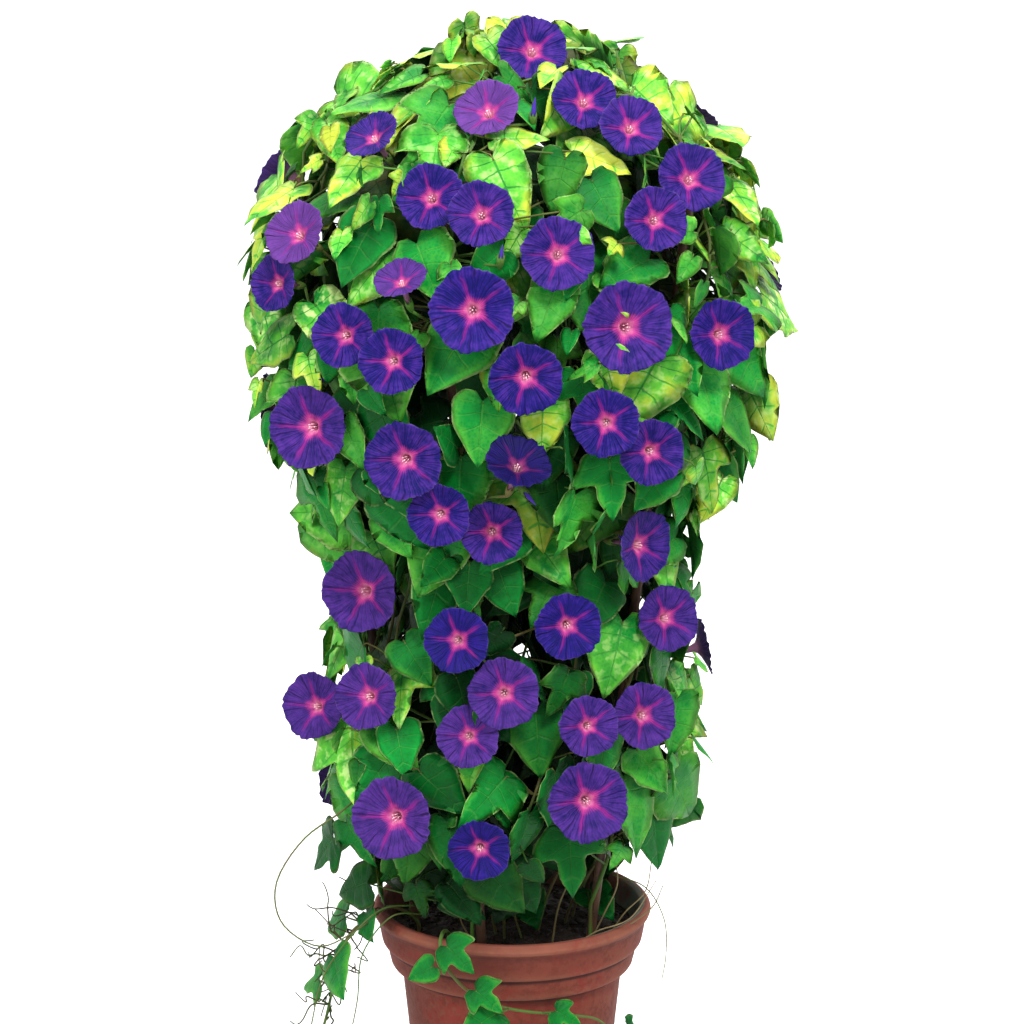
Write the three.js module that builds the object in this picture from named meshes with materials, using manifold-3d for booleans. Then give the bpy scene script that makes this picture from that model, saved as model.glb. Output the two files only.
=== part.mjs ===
// A morning glory vine in a terracotta pot. Millimetres, +Z up.
// The origin is the middle of the pot's flat underside, on the surface that it stands on.
// Five canes lean outwards from the soil. One leafy stem twines up each, and two more trail over the rim.
// Leaves and flowers stand on struts that reach from the stems to a canopy surface, a round head over a
// narrower column.

import * as THREE from 'three';
import { mergeVertices } from 'three/addons/utils/BufferGeometryUtils.js';
import Module from 'manifold-3d';

const wasm = await Module();
wasm.setup();

// ---- Driving dimensions -------------------------------------------------------------------------

const GAP = 0.3;
const SLIVER = 0.06;
const UP = new THREE.Vector3(0, 0, 1);

const POT_SIDES = 24;
const RIM_TOP = 250;
const FOOT_RADIUS = 84;
const FLOOR_THICKNESS = 12;
// Inner wall from the lip down, which bends in below the bands: [radius, height].
const POT_INNER = [[128, 247], [123, 226], [104, 184], [96, 115], [76, 16], [72, FLOOR_THICKNESS]];
// Outer wall from the foot up, with two bands that step out under the lip, then the inner wall.
const POT_WALL = [
  [81, 0], [FOOT_RADIUS, 3], [104, 115], [111, 182], [122, 186], [126, 207], [131, 210], [135, 233], [138, 236],
  [140, 243], [137, RIM_TOP - 1], [133, RIM_TOP], ...POT_INNER,
];
// A coarser profile just outside the pot and soil, which leaves and flowers keep clear of.
const POT_GUARD = [
  [84, 0], [106, 115], [113, 180], [124, 184], [132, 206], [141, 236], [141, 246], [134, 252], [124, 244], [0, 236],
];
const DRAIN_RADIUS = 6;
const DRAIN_CIRCLE = 46;
const DRAINS = 3;

const SOIL_TOP = 226;
const SOIL_MOUND = 7;
const SOIL_RINGS = [0, 56, 112];

const CANES = 5;
const CANE_RADIUS = 5;
const CANE_FOOT = { reach: 96, height: SOIL_TOP };
const CANE_HEAD = { reach: 205, height: 985 };
const CANE_SUNK = 90;

const STEM_RADIUS = 2.1;
const STEM_HELIX = 7.9;
const STEM_PITCH = 200;
const STEM_STEPS = 8;
const STEM_SIDES = 4;
const STEM_SUNK = 26;
const TWINE_START = 268;
// Free tips past the canes, bending in over the head: [reach, height].
const STEM_TIP = [[200, 1012], [184, 1038], [160, 1058], [128, 1074], [92, 1084], [52, 1090]];

// Canopy surface: [height, radius].
const CANOPY = [
  [262, 118], [300, 150], [360, 172], [430, 180], [520, 174], [600, 166], [650, 176], [700, 216], [760, 240],
  [860, 246], [940, 240], [1000, 216], [1050, 176], [1090, 122], [1115, 66], [1128, 0],
];

// Flowers and leaves of the front are set out as they are seen from this point, 3.8 m away and above the head.
const EYE = new THREE.Vector3(0, -3800, 1600);

const BLOOM_SIDES = 10;
const BLOOM_PROUD = 26;
const BLOOM_DEPTH = 0.3;
const BLOOM_TUBE = 0.95;
const TUBE_RADIUS = 2.3;
const THROAT = 0.17;
const LOBE_DEPTH = 0.05;
const THROAT_THICKNESS = 1.4;
const TUBE_SUNK = 3;

const STALK_RADIUS = 1.7;
const CALYX_LENGTH = 12;
const CALYX_RADIUS = 3.9;
const BLADE_HALF_THICKNESS = 0.55;
const PETIOLE_RADIUS = 1.3;
const ROOT_RADIUS = 0.6;
const KNEE_LENGTH = 10;
const KNEE_SLANT = THREE.MathUtils.degToRad(35);
// A petiole may arrive straight at these angles to the blade's normal, if it is this near its own direction.
const STRAIGHT_SLANTS = [THREE.MathUtils.degToRad(14), THREE.MathUtils.degToRad(100)];
const STRAIGHT_ENOUGH = 0.45;

// Half outlines of a blade, from the notch at the petiole round to just before the tip.
// Both numbers are shares of the blade's length, along the midrib and out from it.
const HEART = [[-0.15, 0.12], [-0.15, 0.33], [0.03, 0.48], [0.34, 0.45], [0.68, 0.25]];
const LOBED = [[-0.14, 0.12], [-0.13, 0.34], [0.06, 0.5], [0.4, 0.6], [0.38, 0.26], [0.66, 0.2]];

// Flowers of the front: [across, up, diameter, turn, lift]. Across and up are where the line of sight from EYE
// meets the upright plane through the axis. Turn and lift are degrees from the usual facing.
const FRONT_BLOOMS = [
  [20, 1111, 66, 0, 0], [-25, 1053, 62, -16, 10], [70, 1062, 61, 0, 0], [115, 1036, 60, 0, 0],
  [-136, 1028, 54, -24, 16], [174, 986, 66, 0, 0], [-79, 967, 62, 0, 0], [140, 945, 60, 0, 0],
  [-30, 950, 61, 0, 0], [-211, 932, 62, -10, 8], [-232, 882, 54, -12, 0], [45, 911, 68, 0, 0],
  [-109, 887, 50, -14, 42], [-39, 855, 78, 0, 0], [114, 838, 84, 0, 0], [206, 831, 66, 0, 0],
  [-165, 830, 60, 0, 0], [-118, 804, 61, 0, 0], [14, 786, 68, 0, -12], [-201, 738, 78, 0, 0],
  [92, 742, 63, -12, 0], [138, 713, 62, 0, 0], [-107, 704, 73, 0, 0], [7, 704, 62, 20, 48],
  [-72, 649, 59, 0, 0], [-20, 631, 59, 0, 0], [132, 618, 68, 27, 0], [-151, 571, 79, 0, 0],
  [56, 535, 64, 0, -8], [156, 544, 64, 0, 0], [-55, 521, 62, 0, 0], [-199, 453, 66, 12, 0],
  [-146, 463, 64, 0, 0], [-8, 466, 68, 0, 0], [-44, 421, 60, 0, 0], [77, 432, 58, 0, 0],
  [133, 443, 64, 0, 0], [77, 352, 78, 0, 0], [-121, 335, 80, 0, 0], [-33, 301, 60, 0, -6],
];
// The other flowers go round the sides and back on a golden-angle spiral.
const BACK_BLOOMS = 26;
const BACK_ARC = [12, 168];
const BACK_HEIGHTS = [310, 1075];

// Leaves that mark the front: [across, up, length, heading, lift, turn, lobed]. Heading is the direction that
// the tip points in, seen from EYE, with 0 to the right and -90 down. Lift and turn are degrees.
const FRONT_LEAVES = [
  [-31, 736, 62, -95, 12, 0, 0], [23, 660, 84, -80, 10, 0, 1], [-60, 812, 76, -110, 24, -10, 0],
  [30, 738, 52, -90, 6, 10, 0], [76, 872, 84, -60, 20, 10, 0], [88, 962, 56, -60, 18, 0, 0],
  [-84, 897, 62, -70, 20, -15, 0], [-150, 915, 66, -120, 18, -10, 0], [-236, 820, 60, -150, 34, -20, 0],
  [-196, 790, 42, -80, 8, -10, 1], [-232, 962, 64, -150, 52, -25, 0], [-141, 1060, 66, -166, 46, -20, 0],
  [-160, 985, 58, -130, 30, -20, 0], [-62, 1096, 56, 175, 62, 0, 0], [108, 1120, 54, 20, 66, 15, 0],
  [62, 1112, 46, 60, 58, 0, 0], [208, 1030, 58, -25, 56, 25, 0], [222, 966, 62, -50, 40, 25, 0],
  [262, 858, 84, -35, 30, 30, 0], [82, 1004, 60, -15, 40, 0, 0], [6, 1024, 52, 5, 44, 0, 0],
  [222, 742, 58, -60, 30, 25, 0], [194, 688, 66, -75, 14, 15, 1], [98, 678, 62, -85, 4, 0, 1],
  [-131, 612, 54, -70, 26, -10, 0], [-168, 672, 58, -100, 24, -20, 0], [-44, 577, 50, -95, 22, 0, 0],
  [-6, 574, 50, -70, 20, 5, 0], [104, 506, 76, -100, 6, 10, 0], [-96, 500, 50, -60, 16, 0, 0],
  [-172, 512, 58, -120, 24, -20, 0], [-160, 394, 84, -90, 26, -10, 1], [-112, 408, 50, -80, 14, 0, 0],
  [26, 418, 66, -85, 12, 0, 0], [-104, 302, 64, -100, 16, 0, 0], [60, 290, 66, -85, 14, 10, 1],
  [-10, 262, 60, -50, 14, 0, 0], [146, 318, 66, -80, 12, 20, 0], [140, 388, 60, -50, 22, 20, 0],
  [184, 470, 40, -60, 8, 20, 0], [-160, 262, 52, -160, 22, -20, 0], [-190, 300, 54, -125, 20, -25, 1],
];
const FILL_LEAVES = 77;
const FILL_TRIES = 620;
const FILL_HEIGHTS = [285, 1124];
const FILL_CROWDING = 0.75;
const FILL_LENGTHS = [48, 74];
const TRAIL_STEPS = 22;

// How far a flower may be pushed out, and how it may be turned and lifted, to be clear of the others. The same
// for a leaf, with the degrees that its heading may be twisted by.
const BLOOM_PUSHES = [0, 14, -12, 26, 38, 50];
const BLOOM_AIMS = [[0, 0], [9, 0], [-9, 0], [0, 12], [0, -10], [16, 8], [-16, 8]];
const LEAF_PUSHES = [0, -12, 12, -24, 24, -38, 38];
const LEAF_TWISTS = [0, 12, -12, 24, -24];
const TRAIL_SPREADS = [10, 15, 20, 6, 26];
const SKIN_CLEARANCE = 1;
const BAR_CLEARANCE = 0.5;
const BAR_SAMPLES = 24;

// What makes one socket on a stem better than another for a strut.
const STRUT_RISE = 0.45;
const SOCKET_WEAR = 22;
const CANE_SIDE_COST = 90;

// Stems that trail over the rim: points [x, y, z], leaves as [share of the stem, length, side].
const TRAILS = [
  {
    name: 'trail_front',
    path: [
      [-62, -84, 206], [-62, -84, 222], [-62, -84, 238], [-64, -104, 253], [-68, -124, 258.6], [-70, -138, 252],
      [-66, -147, 236], [-54, -147, 218], [-38, -142, 201], [-16, -136, 188], [8, -130, 180], [34, -122, 174],
      [60, -109, 167], [84, -91, 156], [100, -74, 136],
    ],
    leaves: [
      [0.38, 40, -1], [0.45, 30, 1], [0.56, 36, -1], [0.7, 44, 1], [0.78, 30, -1], [0.86, 32, 1], [1, 26, -1],
    ],
  },
  {
    name: 'trail_left',
    path: [
      [-94, -36, 206], [-94, -36, 222], [-94, -36, 238], [-112, -44, 255], [-124, -50, 259], [-138, -57, 252],
      [-158, -66, 240], [-172, -74, 216], [-178, -80, 186], [-186, -86, 152], [-196, -90, 120], [-204, -92, 96],
    ],
    leaves: [
      [0.4, 38, -1], [0.5, 46, 1], [0.62, 54, -1], [0.74, 38, 1], [0.86, 42, -1], [0.95, 34, 1], [1, 30, -1],
    ],
  },
];

// ---- Finishes -----------------------------------------------------------------------------------

const terracotta = new THREE.MeshStandardMaterial({ color: 0xa8583a, roughness: 0.85, metalness: 0 });
const soilBrown = new THREE.MeshStandardMaterial({ color: 0x2a1c12, roughness: 1, metalness: 0 });
const cane = new THREE.MeshStandardMaterial({ color: 0x5b3a22, roughness: 0.7, metalness: 0 });
const foliage = new THREE.MeshStandardMaterial({ color: 0x1c8a2e, roughness: 0.6, metalness: 0 });
const petal = new THREE.MeshStandardMaterial({ color: 0x35208f, roughness: 0.55, metalness: 0 });

// ---- Small helpers ------------------------------------------------------------------------------

const rad = THREE.MathUtils.degToRad;
const vec = (x, y, z) => new THREE.Vector3(x, y, z);
const along = (from, direction, distance) => from.clone().addScaledVector(direction, distance);
const polar = (reach, angle, height) => vec(reach * Math.cos(angle), reach * Math.sin(angle), height);
const GOLDEN_ANGLE = Math.PI * (3 - Math.sqrt(5));

function seeded(seed) {
  let state = seed;
  return (low, high) => {
    state = (state * 1664525 + 1013904223) % 4294967296;
    return low + (high - low) * state / 4294967296;
  };
}

// Straight lines between the points of a table of [input, output] pairs.
function lookUp(table, value) {
  if (value <= table[0][0]) return table[0][1];
  for (let i = 1; i < table.length; i++) {
    const [[x0, y0], [x1, y1]] = [table[i - 1], table[i]];
    if (value <= x1) return y0 + (y1 - y0) * (value - x0) / (x1 - x0);
  }
  return table[table.length - 1][1];
}

function geometryOf(points, triangles) {
  const geometry = new THREE.BufferGeometry();
  geometry.setAttribute('position', new THREE.Float32BufferAttribute(points.flatMap((p) => p.toArray()), 3));
  geometry.setIndex(triangles.flat());
  return geometry;
}

function solidOf(geometry) {
  const bare = geometry.clone();
  bare.deleteAttribute('normal');
  bare.deleteAttribute('uv');
  const merged = mergeVertices(bare, 1e-4);
  return new wasm.Manifold(new wasm.Mesh({
    numProp: 3,
    vertProperties: new Float32Array(merged.attributes.position.array),
    triVerts: new Uint32Array(merged.index.array),
  }));
}

function meshOf(name, solid, material) {
  const { vertProperties, triVerts } = solid.getMesh();
  const geometry = new THREE.BufferGeometry();
  geometry.setAttribute('position', new THREE.BufferAttribute(new Float32Array(vertProperties), 3));
  geometry.setIndex(new THREE.BufferAttribute(new Uint32Array(triVerts), 1));
  const mesh = new THREE.Mesh(geometry, material);
  mesh.name = name;
  return mesh;
}

// The solids as one body. The shell of a hollow that joining seals is dropped, which fills it.
function joined(solids) {
  const whole = solids.reduce((sum, next) => sum.add(next)).simplify(SLIVER);
  const shells = whole.decompose().sort((a, b) => b.volume() - a.volume());
  if (shells.length > 1 && shells[1].volume() > 1) throw new Error('A piece has come loose.');
  return shells[0];
}

// A round bar between two points.
function bar(from, to, radius, sides) {
  const direction = to.clone().sub(from);
  const geometry = new THREE.CylinderGeometry(radius, radius, direction.length(), sides);
  const upright = vec(0, 1, 0);
  geometry.applyQuaternion(new THREE.Quaternion().setFromUnitVectors(upright, direction.clone().normalize()));
  const middle = from.clone().lerp(to, 0.5);
  geometry.translate(middle.x, middle.y, middle.z);
  return geometry;
}

// The mean of a path's directions before and after one of its points.
function headingAt(points, i) {
  const sum = vec(0, 0, 0);
  if (i > 0) sum.add(points[i].clone().sub(points[i - 1]).normalize());
  if (i < points.length - 1) sum.add(points[i + 1].clone().sub(points[i]).normalize());
  return sum.normalize();
}

// A tube through rings of given radius. Each ring lies square to the path's mean direction there, or to a
// direction of its own, and is turned as little as possible from the ring before it.
function tube(points, radii, sides, facings = []) {
  const vertices = [];
  const triangles = [];
  let side = null;
  points.forEach((point, i) => {
    const ahead = facings[i] ?? headingAt(points, i);
    side ??= Math.abs(ahead.z) < 0.9 ? UP.clone() : vec(1, 0, 0);
    side = side.addScaledVector(ahead, -side.dot(ahead)).normalize();
    const other = ahead.clone().cross(side);
    for (let k = 0; k < sides; k++) {
      const angle = 2 * Math.PI * k / sides;
      const spoke = side.clone().multiplyScalar(Math.cos(angle)).addScaledVector(other, Math.sin(angle));
      vertices.push(along(point, spoke, radii[i]));
    }
    if (i === 0) return;
    for (let k = 0; k < sides; k++) {
      const [a, b] = [(i - 1) * sides + k, (i - 1) * sides + (k + 1) % sides];
      triangles.push([a, b, b + sides], [a, b + sides, a + sides]);
    }
  });
  const end = (points.length - 1) * sides;
  for (let k = 1; k < sides - 1; k++) {
    triangles.push([0, k + 1, k], [end, end + k, end + k + 1]);
  }
  return geometryOf(vertices, triangles);
}

// ---- Keeping leaves and flowers clear of each other ---------------------------------------------

// True if the segment from a to b passes through the triangle.
function pierces(a, b, [p, q, r]) {
  const edge1 = q.clone().sub(p);
  const edge2 = r.clone().sub(p);
  const ray = b.clone().sub(a);
  const h = ray.clone().cross(edge2);
  const det = edge1.dot(h);
  if (Math.abs(det) < 1e-9) return false;
  const s = a.clone().sub(p);
  const u = s.dot(h) / det;
  if (u < 0 || u > 1) return false;
  const k = s.cross(edge1);
  const v = ray.dot(k) / det;
  if (v < 0 || u + v > 1) return false;
  const t = edge2.dot(k) / det;
  return t >= 0 && t <= 1;
}

const anyPierces = (segments, faces) => segments.some(([a, b]) => faces.some((face) => pierces(a, b, face)));

// The least distance between two segments, from samples along the first.
function barDistance([a, b], [c, d]) {
  const run = d.clone().sub(c);
  let least = Infinity;
  for (let i = 0; i <= BAR_SAMPLES; i++) {
    const point = a.clone().lerp(b, i / BAR_SAMPLES);
    const share = THREE.MathUtils.clamp(point.clone().sub(c).dot(run) / run.lengthSq(), 0, 1);
    least = Math.min(least, point.distanceTo(along(c, run, share)));
  }
  return least;
}

// Every item has faces, the edges of those faces grown a little, and bars with a radius and the name of the
// solid that they belong to. Bars of one solid may meet. A flower's sights are lines that no leaf may cross.
function clear(item, placed) {
  for (const other of placed) {
    if (item.middle.distanceTo(other.middle) > item.span + other.span) continue;
    if (anyPierces(item.edges, other.faces) || anyPierces(other.edges, item.faces)) return false;
    if (item.kind === 'leaf' && anyPierces(other.sights, item.faces)) return false;
    for (const one of item.bars) {
      for (const two of other.bars) {
        if (one[3] !== two[3] && barDistance(one, two) < one[2] + two[2] + BAR_CLEARANCE) return false;
      }
    }
  }
  return true;
}

// A little way from a socket towards the far end of its strut, clear of the cane and stem beside it.
const stepFrom = (socket, end) => along(socket, end.clone().sub(socket).normalize(), 4);

// Four lines along a bar's skin, a little outside it.
function skinLines([a, b, radius]) {
  const ahead = b.clone().sub(a).normalize();
  const side = ahead.clone().cross(Math.abs(ahead.z) < 0.9 ? UP : vec(1, 0, 0)).normalize();
  const other = ahead.clone().cross(side);
  return [[side, 1], [side, -1], [other, 1], [other, -1]].map(([spoke, sign]) => {
    const reach = sign * (radius + SKIN_CLEARANCE);
    return [along(a, spoke, reach), along(b, spoke, reach)];
  });
}

// The middle of an item's points and how far the furthest lies from it.
function bounded(item) {
  const points = [...item.faces.flat(), ...item.bars.flatMap(([a, b]) => [a, b])];
  const box = new THREE.Box3().setFromPoints(points);
  item.middle = box.getCenter(vec(0, 0, 0));
  item.span = Math.max(...points.map((point) => point.distanceTo(item.middle)));
  return item;
}

// ---- Canes and stems ----------------------------------------------------------------------------

const caneAngle = (index) => Math.PI + 2 * Math.PI * index / CANES;

function canePoint(index, height) {
  const share = (height - CANE_FOOT.height) / (CANE_HEAD.height - CANE_FOOT.height);
  return polar(CANE_FOOT.reach + share * (CANE_HEAD.reach - CANE_FOOT.reach), caneAngle(index), height);
}

// A stem rises out of the soil beside its cane, twines up it and ends in a free tip.
function stemPath(index) {
  const angle = caneAngle(index);
  const around = (height, turn) => {
    const spoke = polar(STEM_HELIX, angle + turn, 0);
    return canePoint(index, height).add(spoke);
  };
  const start = -Math.PI / 2;
  const root = around(TWINE_START, start);
  const path = [vec(root.x, root.y, SOIL_TOP - STEM_SUNK), vec(root.x, root.y, SOIL_TOP + 20)];
  const rise = STEM_PITCH / STEM_STEPS;
  const steps = Math.floor((CANE_HEAD.height - TWINE_START) / rise);
  for (let i = 0; i <= steps; i++) {
    path.push(around(TWINE_START + i * rise, start + 2 * Math.PI * i / STEM_STEPS));
  }
  const leave = angle + 0.06;
  STEM_TIP.forEach(([reach, height], i) => path.push(polar(reach, leave + 0.02 * i, height)));
  return path;
}

const canes = Array.from({ length: CANES }, (_, i) => ({
  head: canePoint(i, CANE_HEAD.height),
  foot: canePoint(i, SOIL_TOP - CANE_SUNK),
}));
const stems = Array.from({ length: CANES }, (_, i) => stemPath(i));

// Points of a stem that a strut may leave from without meeting its cane, two in each of its straight pieces.
const sockets = stems.flatMap((path, vine) => path.slice(3).flatMap((point, i) => [0.3, 0.7].map((share) => {
  const socket = path[i + 2].clone().lerp(point, share);
  const offCane = socket.z > CANE_HEAD.height ? null : socket.clone().sub(canePoint(vine, socket.z)).setZ(0);
  return { point: socket, offCane, vine, node: `vine_${vine + 1}`, uses: 0 };
}))).filter(({ offCane, vine }) => !offCane || offCane.dot(polar(1, caneAngle(vine), 0)) > -0.3 * STEM_HELIX);

// The socket from which a strut to the target is short, rises a little and leads away from the cane, and that
// few others use.
function socketFor(target) {
  let best = null;
  let least = Infinity;
  for (const socket of sockets) {
    const flat = target.clone().sub(socket.point).setZ(0);
    const run = flat.length();
    const rise = target.z - socket.point.z;
    const offCane = socket.offCane ? flat.dot(socket.offCane) / (run * STEM_HELIX) : 1;
    let cost = run + 0.7 * Math.abs(rise - STRUT_RISE * run - 12) + SOCKET_WEAR * socket.uses;
    if (offCane < 0.25) cost += CANE_SIDE_COST;
    if (cost < least) [best, least] = [socket, cost];
  }
  return best;
}

// ---- Flowers ------------------------------------------------------------------------------------

const canopyRadius = (height) => lookUp(CANOPY, height);

// Where the line of sight through (across, up) first comes within the canopy surface grown by proud, or
// passes nearest to it.
function onCanopy(across, up, proud) {
  const ray = vec(across, 0, up).sub(EYE).normalize();
  let nearest = { gap: Infinity, point: null };
  for (let reach = 3400; reach < 4300; reach += 4) {
    const point = along(EYE, ray, reach);
    const gap = Math.hypot(point.x, point.y) - canopyRadius(point.z) - proud;
    if (gap < nearest.gap - 0.5) nearest = { gap, point };
    if (gap <= 0) break;
  }
  return nearest.point;
}

// Unit vector away from the canopy at a point, tipped upwards by lean.
function outward(point, lean) {
  const flat = vec(point.x, point.y, 0).normalize();
  const slope = (canopyRadius(point.z - 20) - canopyRadius(point.z + 20)) / 40;
  return flat.addScaledVector(UP, lean + THREE.MathUtils.clamp(slope, -0.2, 1.5)).normalize();
}

// Turns a direction about the upright axis, then lifts it towards the zenith. Degrees.
function aimed(direction, turn, lift) {
  const turned = direction.clone().applyAxisAngle(UP, rad(turn));
  const sideways = turned.clone().cross(UP).normalize();
  return turned.applyAxisAngle(sideways, rad(lift));
}

function bloomItem(centre, axis, diameter, front) {
  const radius = diameter / 2;
  const length = radius * (BLOOM_DEPTH + BLOOM_TUBE);
  const side = axis.clone().cross(UP).normalize();
  const other = axis.clone().cross(side);
  const ring = (reach, back) => Array.from({ length: BLOOM_SIDES }, (_, k) => {
    const angle = 2 * Math.PI * k / BLOOM_SIDES;
    const spoke = side.clone().multiplyScalar(Math.cos(angle)).addScaledVector(other, Math.sin(angle));
    return along(along(centre, axis, -back), spoke, reach);
  });
  const rim = ring(radius + 3, 0);
  const waist = ring(THROAT * radius, BLOOM_DEPTH * radius);
  const calyx = along(centre, axis, -length - GAP);
  const neck = along(calyx, axis, -CALYX_LENGTH);
  const base = along(centre, axis, -length);
  const socket = socketFor(neck);
  const item = { kind: 'bloom', front, centre, axis, side, radius, calyx, neck, length, socket };
  const throat = along(centre, axis, -BLOOM_DEPTH * radius);
  item.faces = [];
  item.bars = [
    [throat, base, THROAT * radius, item], [calyx, neck, CALYX_RADIUS, socket.node],
    [neck, stepFrom(socket.point, neck), 1.5, socket.node],
  ];
  item.edges = item.bars.slice(1).flatMap(skinLines);
  rim.forEach((point, k) => {
    const next = (k + 1) % BLOOM_SIDES;
    item.faces.push([centre, point, rim[next]], [point, waist[k], rim[next]]);
    item.faces.push([waist[k], waist[next], rim[next]]);
    item.faces.push([waist[k], base, waist[next]]);
    item.edges.push([point, rim[next]], [point, waist[k]], [waist[k], base]);
  });
  const toEye = EYE.clone().sub(centre).normalize();
  const gaze = centre.y < 0 ? toEye : axis;
  item.sights = [centre, ...ring(0.72 * radius, 0).filter((_, k) => k % 2 === 0)]
    .map((point) => [along(point, gaze, 2), along(point, gaze, 190)]);
  return bounded(item);
}

// A run of bars as an item of its own.
function runItem(points, radius, name) {
  const bars = points.slice(1).map((point, i) => [points[i], point, radius, name]);
  return bounded({ kind: 'run', faces: [], sights: [], edges: bars.flatMap(skinLines), bars });
}

// The pot's outer wall, rim and soil as an item that leaves keep clear of.
function potItem() {
  const points = POT_GUARD.map(([r, z]) => Array.from({ length: POT_SIDES }, (_, k) => {
    return polar(r, 2 * Math.PI * k / POT_SIDES, z);
  }));
  const item = { kind: 'pot', faces: [], edges: [], bars: [], sights: [] };
  points.slice(1).forEach((row, i) => row.forEach((point, k) => {
    const next = (k + 1) % POT_SIDES;
    item.faces.push([points[i][k], points[i][next], row[next]], [points[i][k], row[next], point]);
    item.edges.push([points[i][k], point], [point, row[next]]);
  }));
  return bounded(item);
}

const trailPaths = TRAILS.map(({ path }) => {
  return new THREE.CatmullRomCurve3(path.map((point) => vec(...point))).getPoints(TRAIL_STEPS);
});

const placed = [
  potItem(),
  ...canes.map(({ foot, head }, i) => runItem([foot, head], CANE_RADIUS, `cane_${i}`)),
  ...stems.map((path, i) => runItem(path.slice(2), STEM_RADIUS, `vine_${i + 1}`)),
  ...trailPaths.map((path, i) => runItem(path.slice(4), STEM_RADIUS, TRAILS[i].name)),
];

// Places the first of several tries that is clear of everything so far. True if there is one.
function settle(tries) {
  for (const make of tries) {
    const item = make();
    if (!clear(item, placed)) continue;
    placed.push(item);
    item.socket.uses += 1;
    return true;
  }
  return false;
}

function mustSettle(tries, label) {
  if (!settle(tries)) throw new Error(`There is no room for ${label}.`);
}

const bloomNudges = BLOOM_AIMS.flatMap((aim) => BLOOM_PUSHES.map((push) => [push, ...aim]));

FRONT_BLOOMS.forEach(([across, up, diameter, turn, lift], i) => {
  const tries = bloomNudges.map(([push, yaw, pitch]) => () => {
    const centre = onCanopy(across, up, BLOOM_PROUD + push);
    const facing = outward(centre, 0.1).add(EYE.clone().sub(centre).normalize()).normalize();
    return bloomItem(centre, aimed(facing, turn + yaw, lift + pitch), diameter, true);
  });
  mustSettle(tries, `front flower ${i + 1}`);
});

const backDraw = seeded(4711);
for (let i = 0; i < BACK_BLOOMS; i++) {
  const share = (i * 0.618034 + 0.31) % 1;
  const angle = rad(BACK_ARC[0] + share * (BACK_ARC[1] - BACK_ARC[0]));
  const height = BACK_HEIGHTS[0] + (BACK_HEIGHTS[1] - BACK_HEIGHTS[0]) * (i + 0.5) / BACK_BLOOMS;
  const diameter = backDraw(58, 80);
  const [turn, lift] = [backDraw(-16, 16), backDraw(-4, 14)];
  const tries = bloomNudges.map(([push, yaw, pitch]) => () => {
    const centre = polar(canopyRadius(height) + BLOOM_PROUD + push, angle, height);
    return bloomItem(centre, aimed(outward(centre, 0.15), turn + yaw, lift + pitch), diameter, false);
  });
  mustSettle(tries, `back flower ${i + 1}`);
}

// ---- Leaves -------------------------------------------------------------------------------------

// Height of a blade's middle surface over its flat plane: it arches across, and its tip bends down.
const bladeDroop = (u, v, length) => -length * (0.28 * v * v + 0.1 * Math.max(u, 0) ** 2);

// The points of a blade and its two triangulated faces. The notch is at root, the tip along heading.
function bladePoints(root, heading, normal, length, lobed) {
  const across = normal.clone().cross(heading);
  const at = (u, v, over = 0) => {
    const point = along(along(root, heading, u * length), across, v * length);
    return along(point, normal, bladeDroop(u, v, length) + over);
  };
  const half = lobed ? LOBED : HEART;
  const notch = PETIOLE_RADIUS / length;
  const left = [[0, notch], ...half];
  const loop = [...left, [1, 0], ...left.toReversed().map(([u, v]) => [u, -v])];
  return { at, loop };
}

// A petiole runs straight from its socket to the notch where that brings it in from behind or below the blade,
// and otherwise by way of a knee there. Slant is the angle between the normal and its last direction.
function petiolePath({ root, heading, normal, socket }) {
  const strut = root.clone().sub(socket.point).normalize();
  const arrival = (slant) => {
    return normal.clone().multiplyScalar(Math.cos(slant)).addScaledVector(heading, Math.sin(slant));
  };
  const wanted = Math.atan2(strut.dot(heading), strut.dot(normal));
  const straight = THREE.MathUtils.clamp(wanted, STRAIGHT_SLANTS[0], STRAIGHT_SLANTS[1]);
  if (strut.dot(arrival(straight)) > STRAIGHT_ENOUGH) return { slant: straight, stops: [socket.point, root] };
  return { slant: KNEE_SLANT, stops: [socket.point, along(root, arrival(KNEE_SLANT), -KNEE_LENGTH), root] };
}

function leafItem(root, heading, normal, length, lobed, socket = socketFor(root)) {
  const { at, loop } = bladePoints(root, heading, normal, length, lobed);
  const grown = 1.05;
  const outline = loop.map(([u, v]) => at(u * grown, v * grown));
  const ribs = [at(0.12, 0), at(0.5, 0)];
  const item = { kind: 'leaf', root, heading, normal, length, lobed, socket, sights: [] };
  const half = (loop.length - 1) / 2;
  const turnAt = lobed ? 5 : 3;
  item.faces = [[ribs[0], outline[loop.length - 1], outline[0]]];
  item.edges = [];
  const skin = [along(vec(0, 0, 0), normal, 1.6), along(vec(0, 0, 0), normal, -1.6)];
  for (let k = 0; k < loop.length - 1; k++) {
    const fromTip = Math.min(k, loop.length - 2 - k);
    const rib = fromTip < turnAt ? ribs[0] : ribs[1];
    item.faces.push([rib, outline[k], outline[k + 1]]);
    if (fromTip === turnAt - 1) item.faces.push([ribs[0], outline[k < half ? k + 1 : k], ribs[1]]);
    for (const shift of skin) {
      item.edges.push([outline[k].clone().add(shift), outline[k + 1].clone().add(shift)]);
    }
    item.edges.push([rib, outline[k]]);
  }
  Object.assign(item, petiolePath(item));
  const stops = [stepFrom(socket.point, item.stops[1]), ...item.stops.slice(1)];
  item.bars = stops.slice(1).map((point, k) => [stops[k], point, PETIOLE_RADIUS, socket.node]);
  item.edges.push([ribs[0], ribs[1]], ...item.bars.flatMap(skinLines));
  return bounded(item);
}

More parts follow.
